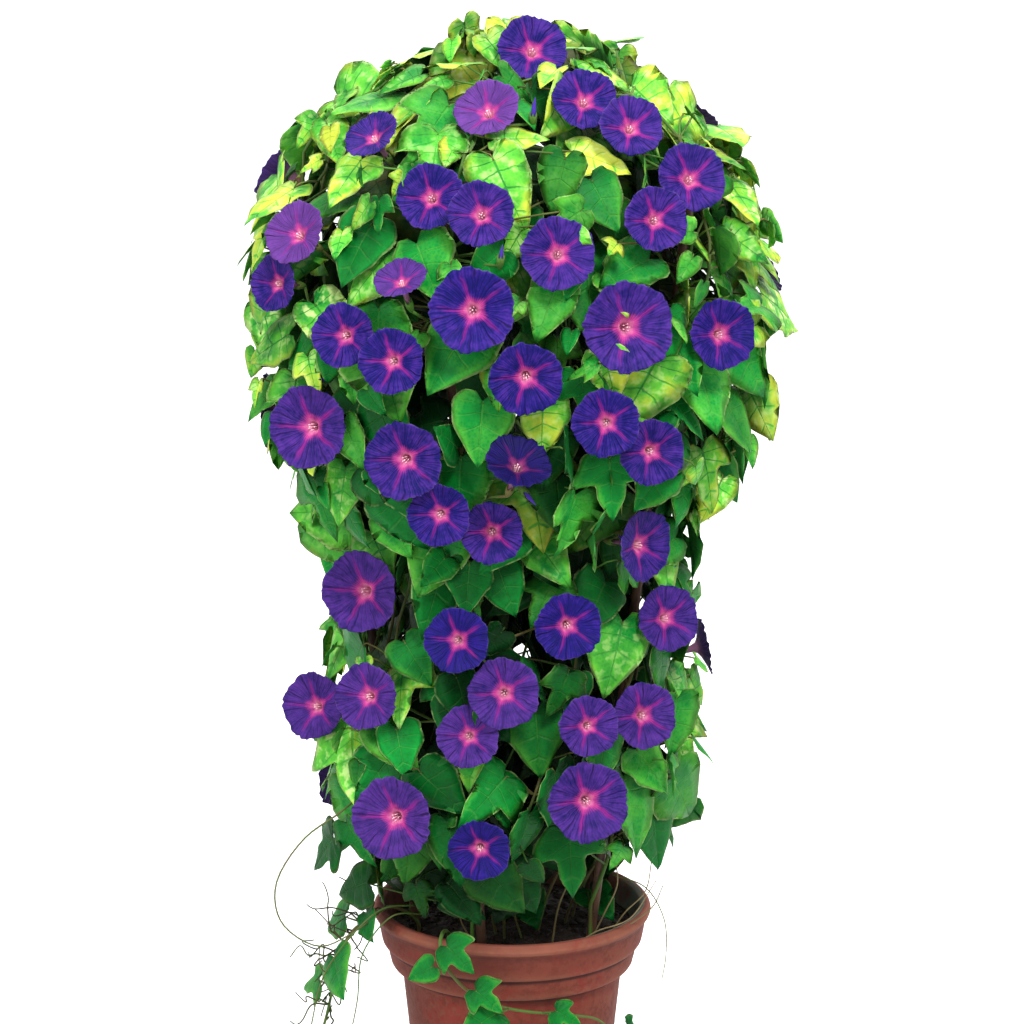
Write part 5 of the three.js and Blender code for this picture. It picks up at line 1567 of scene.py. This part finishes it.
class GLORY_OT_flowers(bpy.types.Operator):
    """Makes the flowers, those of the front one by one and the others by the stem that carries them"""
    bl_idname = "glory.flowers"
    bl_label = "Flowers"

    def execute(self, context):
        layout = plan()
        finish = [petal_finish()]
        rng = np.random.default_rng(300)
        front = [bloom for bloom in layout.blooms if bloom.front]
        for i, bloom in enumerate(front, 1):
            tone = FLOWER_TONES.get(i, rng.uniform(0.02, 0.14))
            sheaf = Gathered()
            add_flowers(sheaf, [bloom], np.array([[tone, rng.uniform(0.5, 1), rng.uniform()]]),
                        np.array([FRILLED.get(i, 1.0)]), rng)
            sheaf.build(f"flower_{i}", finish, [f"bloom_{i}"])
        for i in range(CANES):
            node = f"vine_{i + 1}"
            blooms = [bloom for bloom in layout.blooms if not bloom.front and bloom.socket.node == node]
            if not blooms:
                continue
            # Paleness of the other flowers; just below 0 it paints a little shade.
            tones = np.stack([rng.uniform(-0.05, 0.4, len(blooms)), rng.uniform(0.5, 1, len(blooms)),
                              rng.uniform(0, 1, len(blooms))], 1)
            sheaf = Gathered()
            add_flowers(sheaf, blooms, tones, rng.uniform(0.8, 1.8, len(blooms)), rng)
            sheaf.build(f"flowers_of_stem_{i + 1}", finish, [node])
        return {"FINISHED"}


class GLORY_OT_canes(bpy.types.Operator):
    """Makes the garden canes, each a tube that swells at its nodes"""
    bl_idname = "glory.canes"
    bl_label = "Canes"

    def execute(self, context):
        finish = [cane_finish()]
        for i in range(CANES):
            rng = np.random.default_rng(400 + i)
            sheaf = Gathered()
            heights = np.linspace(SOIL_TOP - CANE_SUNK, CANE_HEAD[1], 160)
            path = cane_point(i, heights)
            node = np.zeros(len(heights))
            for level in np.arange(rng.uniform(150, 250), CANE_HEAD[1], rng.uniform(150, 190)):
                node = np.maximum(node, np.exp(-((heights - level) / 4.0) ** 2))
            points, spots, faces = tubes(path[None], CANE_RADIUS * (0.94 + 0.14 * node), 14)
            spots[:-2, 1] = np.repeat(node, 14)
            sheaf.add(points, spots, PLAIN_TONE, faces)
            sheaf.build(f"garden_cane_{i + 1}", finish, [f"cane_{i + 1}"])
        return {"FINISHED"}


# Outer wall from the middle of the foot up to the lip, with two bands, then the inner wall: radius, height.
POT_PROFILE = (
    (0, 0), (60, 0), (81, 0), (84, 3), (104, 115), (111, 182), (112, 184.5), (122, 186), (126, 207), (126.5, 208.5),
    (131, 210), (134.6, 231), (136.4, 236), (139.6, 240), (140, 244), (137, 249), (133, 250), (128, 247), (123, 226),
    (104, 184), (96, 115), (76, 16), (72, 12), (0, 12),
)
# Heights where the outer wall steps out, under which shadow is painted.
LEDGES = (185.5, 209.5)
DRAIN_RADIUS, DRAIN_CIRCLE, DRAINS = 6, 46, 3


def lathe(profile, columns):
    """A profile (rows of radius, height) carried round the axis, with a point at each end. Returns points and
    faces."""
    profile = np.asarray(profile, float)
    angle = 2 * np.pi * np.arange(columns) / columns
    body = polar(profile[1:-1, None, 0], angle[None], profile[1:-1, None, 1])
    points = np.concatenate([body.reshape(-1, 3), [[0, 0, profile[0, 1]], [0, 0, profile[-1, 1]]]])
    return points, ring_faces(len(profile) - 2, columns)


class GLORY_OT_pot(bpy.types.Operator):
    """Makes the pot: its profile with rounded corners, turned, slightly uneven, with drain holes"""
    bl_idname = "glory.pot"
    bl_label = "Pot"

    def execute(self, context):
        look = settings("glory_pot")
        profile = np.array(POT_PROFILE, float)
        for cut in (0.2, 0.25, 0.25):
            a, b = profile[:-1], profile[1:]
            step = np.linalg.norm(b - a, axis=1, keepdims=True)
            share = np.minimum(cut, 3.0 / step)
            pairs = np.stack([a + (b - a) * share, b - (b - a) * share], 1).reshape(-1, 2)
            profile = np.concatenate([profile[:1], pairs[1:-1], profile[-1:]])
        dense = []
        for a, b in zip(profile[:-1], profile[1:]):
            near = a[0] > 100 and any(-1 < ledge - min(a[1], b[1]) < 16 for ledge in LEDGES)
            count = max(1, int(np.linalg.norm(b - a) / (2 if near else 9)))
            dense.append(a + (b - a) * np.arange(count)[:, None] / count)
        profile = np.concatenate([*dense, profile[-1:]])
        run = np.concatenate([[0], np.cumsum(np.linalg.norm(np.diff(profile, axis=0), axis=1))])
        even = np.arange(0, run[-1], 1.0)
        radius = np.interp(even, run, profile[:, 0])
        half = 6
        mean = np.convolve(np.pad(radius, half, "edge"), np.ones(2 * half + 1) / (2 * half + 1), "valid")
        inner = np.interp(run, even, np.arange(len(even)) > len(even) * 0.52)
        bulge = np.interp(run, even, radius - mean)
        # Convex edges are rubbed and carry a painted highlight; concave corners carry painted shade.
        wear_highlight_and_shade = np.clip(bulge * np.where(inner > 0.5, -1, 1) / 1.2, -1, 1)
        # Painted shadow below each ledge, fading downwards.
        for ledge in LEDGES:
            below = ledge - profile[:, 1]
            shadow = np.clip(1.6 - below / 3.6, 0, 1) * (below > 0) * (inner < 0.5)
            wear_highlight_and_shade = np.minimum(wear_highlight_and_shade, np.where(shadow > 0, -shadow, 1))
        points, faces = lathe(profile, look.sides)
        angle = np.arctan2(points[:, 1], points[:, 0])
        uneven = 1 + 0.0016 * np.sin(2 * angle + 0.7) + 0.0008 * np.sin(5 * angle + points[:, 2] / 30)
        marks = 0.12 * np.sin(points[:, 2] * 1.9) * (points[:, 2] > 5)
        reach = np.hypot(points[:, 0], points[:, 1])
        points[:, :2] *= (uneven + marks / np.maximum(reach, 20))[:, None]
        sheaf = Gathered()
        sheaf.add(points[None], NO_SPOT, PLAIN_TONE, faces)
        piece = sheaf.build("terracotta_pot", [clay_finish()], ["pot"])
        self.drill(piece)
        self.mark(piece.data, profile, wear_highlight_and_shade, inner)
        return {"FINISHED"}

    def mark(self, mesh, profile, wear_highlight_and_shade, inner):
        """Sets each point's rubbed edge, painted highlight and painted shade, and its stain, by the nearest point of
        the profile.
        """
        points = np.empty(len(mesh.vertices) * 3)
        mesh.vertices.foreach_get("co", points)
        x, y, z = points.reshape(-1, 3).T / MM
        nearest = np.empty(len(z), int)
        for part in np.array_split(np.arange(len(z)), 40):
            gaps = (np.hypot(x, y)[part, None] - profile[:, 0]) ** 2 + (z[part, None] - profile[:, 1]) ** 2
            nearest[part] = np.argmin(gaps, 1)
        stain = inner[nearest] * np.clip(x / np.hypot(x, y).clip(1) + 0.1, 0, 1) * np.clip((z - 180) / 40, 0, 1)
        spots = np.stack([0 * z, wear_highlight_and_shade[nearest], stain], 1)
        mesh.attributes["spot"].data.foreach_set("vector", spots.astype(np.float32).ravel())

    def drill(self, piece):
        """Cuts the drain holes with short upright bars."""
        sheaf = Gathered()
        angles = 2 * np.pi * (np.arange(DRAINS) + 0.4) / DRAINS
        ends = polar(DRAIN_CIRCLE, angles, -5.0)
        paths = ends[:, None] + UP * np.array([0, 12, 23])[:, None]
        points, spots, faces = tubes(paths, DRAIN_RADIUS, 24)
        sheaf.add(points, spots, PLAIN_TONE, faces)
        cutter = sheaf.build("drill", [piece.data.materials[0]])
        cut = piece.modifiers.new("drains", "BOOLEAN")
        cut.operation, cut.object, cut.solver = "DIFFERENCE", cutter, "EXACT"
        depsgraph = bpy.context.evaluated_depsgraph_get()
        mesh = bpy.data.meshes.new_from_object(piece.evaluated_get(depsgraph))
        piece.modifiers.clear()
        piece.data = mesh
        mesh.name = piece.name
        bpy.data.objects.remove(cutter)


# The soil's side just inside the pot's inner wall: radius, height.
SOIL_WALL = ((0, 12.3), (71, 12.3), (75.5, 16), (95.5, 115), (103.5, 184), (121, 222))
CRUMBS = 420


def soil_height(x, y):
    """The soil's top: a low mound plus sines of both coordinates."""
    r = np.hypot(x, y)
    lumps = 1.3 * np.sin(x / 7.1 + 1.2) * np.cos(y / 6.3) + 0.8 * np.sin(x / 3.1 + y / 4.3)
    lumps = lumps + 0.7 * np.cos(y / 2.7 - x / 5.9)
    return SOIL_TOP + 5.6 * (1 - (r / 118) ** 2) + lumps * np.clip((122 - r) / 14, 0, 1)


class GLORY_OT_soil(bpy.types.Operator):
    """Makes the soil as a lumpy mound that fills the pot, and the crumbs on it"""
    bl_idname = "glory.soil"
    bl_label = "Soil"

    def execute(self, context):
        across = np.concatenate([np.linspace(120.5, 12, 44), [0]])
        top = np.stack([across, np.full(len(across), float(SOIL_TOP))], 1)
        points, faces = lathe(np.concatenate([SOIL_WALL, top]), 120)
        up = points[:, 2] >= SOIL_TOP - 0.1
        points[up, 2] = soil_height(points[up, 0], points[up, 1])
        sheaf = Gathered()
        sheaf.add(points[None], NO_SPOT, PLAIN_TONE, faces)
        finish = [soil_finish()]
        sheaf.build("potting_soil", finish, ["soil"])
        rng = np.random.default_rng(500)
        count = CRUMBS
        reach, angle = 116 * np.sqrt(rng.uniform(0, 1, count)), rng.uniform(0, 6.28, count)
        x, y = reach * np.cos(angle), reach * np.sin(angle)
        size = rng.uniform(1.0, 3.6, (count, 1)) * rng.uniform(0.7, 1.2, (count, 3)) * (1, 1, 0.7)
        ball, faces = bead(3, 6)
        lump = ball[None] * (1 + 0.25 * np.sin(ball[None] @ rng.normal(0, 3, (count, 3, 3)))) * size[:, None]
        place = np.stack([x, y, soil_height(x, y) + size[:, 2] * 0.3], 1)
        crumbs = Gathered()
        crumbs.add(place[:, None] + lump, NO_SPOT, PLAIN_TONE, faces)
        crumbs.build("soil_crumbs", finish)
        return {"FINISHED"}


# Loose thin stems: dryness, radius, and points.
LOOSE = (
    (0.3, 1.1, ((-128, -60, 400), (-165, -80, 371), (-205, -96, 345), (-232, -104, 300), (-226, -106, 262),
                 (-190, -100, 236), (-158, -90, 246), (-132, -78, 262))),
    (0.15, 1.0, ((-96, -70, 268), (-128, -92, 272), (-160, -104, 246), (-186, -112, 208), (-198, -116, 160),
                 (-206, -118, 118))),
    (0.1, 0.9, ((-84, -80, 262), (-118, -108, 270), (-146, -124, 238), (-152, -130, 190), (-160, -132, 150))),
    (0.2, 0.8, ((100, -70, 300), (132, -86, 292), (150, -94, 262), (152, -98, 226), (148, -100, 200))),
    (0.9, 1.0, ((78, -60, 226), (92, -74, 262), (104, -84, 296), (100, -90, 330))),
    (0.95, 0.9, ((96, -48, 226), (112, -64, 258), (132, -78, 286), (138, -84, 322))),
    (1.0, 0.8, ((60, -76, 227), (84, -90, 248), (116, -92, 262), (142, -88, 300))),
    (0.9, 0.9, ((88, -62, 226), (120, -70, 250), (140, -72, 268), (150, -66, 288))),
    (0.8, 1.1, ((40, -70, 228), (46, -80, 270), (60, -84, 310), (66, -80, 352))),
    (0.9, 1.0, ((-40, -66, 228), (-52, -78, 262), (-46, -86, 300), (-60, -84, 344))),
    (0.3, 1.2, ((10, -60, 228), (2, -74, 268), (14, -82, 310), (4, -86, 360))),
)
RUNNERS = 28
BUDS = 18
BUD_RADIUS, BUD_LENGTH = 3.1, 30
# Buds with a place of their own: across, up.
MARKED_BUDS = ((-11, 905), (20, 1044))


class GLORY_OT_details(bpy.types.Operator):
    """Makes the buds, the thin runners and the dry stems"""
    bl_idname = "glory.details"
    bl_label = "Buds and loose stems"

    def execute(self, context):
        finishes = made("leaf_blade", "green_stem")
        sheaf = Gathered()
        for dry, radius, points in LOOSE:
            path = centripetal(points, 36)
            tube, spots, faces = tubes(path[None], np.linspace(radius, radius * 0.6, len(path)), 6)
            sheaf.add(tube, spots, np.array([dry, 0.6, 0.5]), faces, 1)
        self.tangle(sheaf)
        sheaf.build("loose_stems", finishes)
        self.buds()
        return {"FINISHED"}

    def tangle(self, sheaf):
        """Thin dark runners round the left trailing stem: from a point of it to a point beyond, with two sines
        across whose size grows along the way."""
        rng = np.random.default_rng(650)
        path = TRAIL_PATHS["trail_left"]
        count, rings = RUNNERS, 26
        t = np.linspace(0, 1, rings)[None, :, None]
        start = path[rng.integers(len(path) * 2 // 5, len(path) * 4 // 5, count)][:, None]
        end = start + rng.uniform((-48, -18, -46), (26, 6, 44), (count, 1, 3))
        swing = rng.normal(0, 7, (count, 1, 3)) * np.sin(t * rng.uniform(5, 11, (count, 1, 1)))
        swing = swing + rng.normal(0, 3, (count, 1, 3)) * np.sin(t * 17)
        runs = start + (end - start) * t + swing * t
        tube, spots, faces = tubes(runs, np.linspace(1.1, 0.6, rings), 5)
        tones = np.stack([rng.uniform(0, 0.4, count), rng.uniform(0.1, 0.35, count), rng.uniform(0, 1, count)], 1)
        sheaf.add(tube, spots, tones[:, None], faces, 1)

    def buds(self):
        """Each bud is a tube whose radius swells and falls to a point, with five ridges that twist along it. Buds
        keep the plain petal colour that comes with the frame."""
        rng = np.random.default_rng(600)
        count, rings, columns = BUDS, 14, 15
        s = np.linspace(0.02, 0.995, rings)[:, None]
        theta = 2 * np.pi * np.arange(columns)[None] / columns
        swell = BUD_RADIUS * np.sin(np.pi * s ** 0.62) ** 0.75 * (1 - 0.35 * s) + 0.25
        reach = swell * (1 + 0.16 * np.cos(5 * theta - 9 * s))
        local = polar(reach, theta, BUD_LENGTH * s).reshape(-1, 3)
        local = np.concatenate([local, [[0, 0, 0]], [[0, 0, BUD_LENGTH + 0.4]]])
        index = np.arange(count)
        height = 330 + 640 * ((index * 0.618034 + 0.2) % 1)
        angle = index * GOLDEN_ANGLE + 1.1
        centre = polar(np.maximum(canopy_radius(height) - 14, 20), angle, height)
        axis = np.array([aimed(outward(c, 0), rng.uniform(-50, 50), rng.uniform(-30, 20)) for c in centre])
        for k, (across, up) in enumerate(MARKED_BUDS):
            centre[k], axis[k] = on_canopy(across, up, 10), unit(np.array([0.1, -0.45, 0.9]))
        side = unit(np.cross(axis, UP))
        scale = rng.uniform(0.45, 0.8, (count, 1, 1))
        spots = np.zeros((len(local), 3))
        spots[:, 0] = np.concatenate([np.repeat(0.12 + 0.75 * s[:, 0], columns), [0.1], [0.9]])
        spots[:, 2] = 1
        tones = np.stack([rng.uniform(0.1, 0.6, count), rng.uniform(0.4, 1, count), rng.uniform(0, 1, count)], 1)
        petals = Gathered()
        petals.add(in_frames(local * scale, centre, side, axis), spots, tones[:, None], ring_faces(rings, columns))
        petals.build("buds", made("petal"))
        stalks = Gathered()
        items = [
            SimpleNamespace(calyx=c + a * 1.5, neck=c - a * 8, axis=a, side=b,
                            socket=SimpleNamespace(point=self.hold(c - a * 8)))
            for c, a, b in zip(centre, axis, side)
        ]
        add_calyxes(stalks, items, rng)
        stalks.build("bud_stalks", made("leaf_blade", "green_stem"))

    def hold(self, target):
        """The point of a stem that is nearest to a bud's foot, and a little below it."""
        stems = np.concatenate([*(path[2:] for path in STEMS), *(path[10:] for path in plan().shoots)])
        cost = np.linalg.norm(stems - target, axis=1) + 0.4 * np.abs(target[2] - stems[:, 2] - 15)
        return stems[int(np.argmin(cost))]


# The studio, in metres and watts. Lights: name, place, size, power.
FLOOR_FLAT, FLOOR_CURVE, ROOF = 4.4, 2.0, 9.0
SKY = 0.96
LIGHTS = (
    ("key", (0.9, -2.8, 3.4), 0.8, 158),
    ("fill", (-2.6, -2.4, 1.9), 1.6, 58),
    ("top", (0.3, 0.4, 3.2), 1.2, 20),
    ("back", (0.5, 2.2, 2.0), 2.0, 20),
    ("backdrop", (0, 1.0, 4.4), 4.0, 90),
)
LIGHT_AIM = np.array([0, 0, 0.65])
# The camera looks down by so many degrees. Its lens and sensor are in millimetres.
CAMERA_DOWN, CAMERA_LENS, CAMERA_SENSOR = 14, 139.7, 36


class GLORY_OT_stage(bpy.types.Operator):
    """Makes the pale floor that curves up all round, the soft lights and the camera"""
    bl_idname = "glory.stage"
    bl_label = "Stage"

    def execute(self, context):
        angle = np.linspace(0, np.pi / 2, 16)
        curve = np.stack([FLOOR_FLAT + FLOOR_CURVE * np.sin(angle), FLOOR_CURVE - FLOOR_CURVE * np.cos(angle)], 1)
        points, faces = lathe([(0, 0), (1.0, 0), *curve, (FLOOR_FLAT + FLOOR_CURVE, ROOF), (0, ROOF)], 96)
        mesh = bpy.data.meshes.new("studio_floor")
        faces = [face[::-1] for group in (faces[0], faces[1]) for face in group.tolist()]
        mesh.from_pydata(points.tolist(), [], faces)
        mesh.polygons.foreach_set("use_smooth", np.ones(len(mesh.polygons), bool))
        floor = bpy.data.objects.new("studio_floor", mesh)
        context.scene.collection.objects.link(floor)
        f = Finish("pale_floor")
        f.material.cycles.emission_sampling = "NONE"
        mesh.materials.append(f.done(Base_Color=(0.92, 0.92, 0.92, 1), Roughness=0.9, Specular_IOR_Level=0.1,
                                      Emission_Color=(1, 1, 1, 1), Emission_Strength=0.24))
        floor.visible_diffuse = False
        world = bpy.data.worlds.new("studio_world")
        world.use_nodes = True
        world.node_tree.nodes["Background"].inputs[0].default_value = (1, 1, 1, 1)
        world.node_tree.nodes["Background"].inputs[1].default_value = SKY
        context.scene.world = world
        for name, place, size, power in LIGHTS:
            data = bpy.data.lights.new(name, "AREA")
            data.energy, data.size = power, size
            lamp = bpy.data.objects.new(name, data)
            lamp.location = place
            toward = LIGHT_AIM - place
            tip = math.atan2(math.hypot(*toward[:2]), -toward[2])
            lamp.rotation_euler = (tip, 0, math.atan2(toward[0], -toward[1]) + math.pi)
            context.scene.collection.objects.link(lamp)
        camera = bpy.data.objects.new("camera", bpy.data.cameras.new("camera"))
        camera.location = EYE * MM
        camera.rotation_euler = (math.radians(90 - CAMERA_DOWN), 0, 0)
        camera.data.lens = CAMERA_LENS
        camera.data.sensor_width = CAMERA_SENSOR
        context.scene.collection.objects.link(camera)
        context.scene.camera = camera
        context.scene.view_settings.view_transform = "Standard"
        return {"FINISHED"}


OPERATORS = (GLORY_OT_stage, GLORY_OT_vines, GLORY_OT_trails, GLORY_OT_flowers, GLORY_OT_canes, GLORY_OT_pot,
             GLORY_OT_soil, GLORY_OT_details)


class GLORY_PT_panel(bpy.types.Panel):
    """Lists the settings and the operators in the sidebar"""
    bl_idname = "GLORY_PT_panel"
    bl_label = "Morning Glory"
    bl_space_type = "VIEW_3D"
    bl_region_type = "UI"
    bl_category = "Morning Glory"

    def draw(self, context):
        for group, kind in SETTINGS.items():
            box = self.layout.box()
            for name in kind.__annotations__:
                box.prop(settings(group), name)
        for operator in OPERATORS:
            self.layout.operator(operator.bl_idname)


CLASSES = (*SETTINGS.values(), *OPERATORS, GLORY_PT_panel)


def register():
    for kind in CLASSES:
        bpy.utils.register_class(kind)
    for name, kind in SETTINGS.items():
        setattr(bpy.types.Scene, name, bpy.props.PointerProperty(type=kind))


def unregister():
    for name in SETTINGS:
        delattr(bpy.types.Scene, name)
    for kind in reversed(CLASSES):
        bpy.utils.unregister_class(kind)


def main():
    register()
    for operator in OPERATORS:
        group, name = operator.bl_idname.split(".")
        getattr(getattr(bpy.ops, group), name)()


if __name__ == "__main__":
    main()
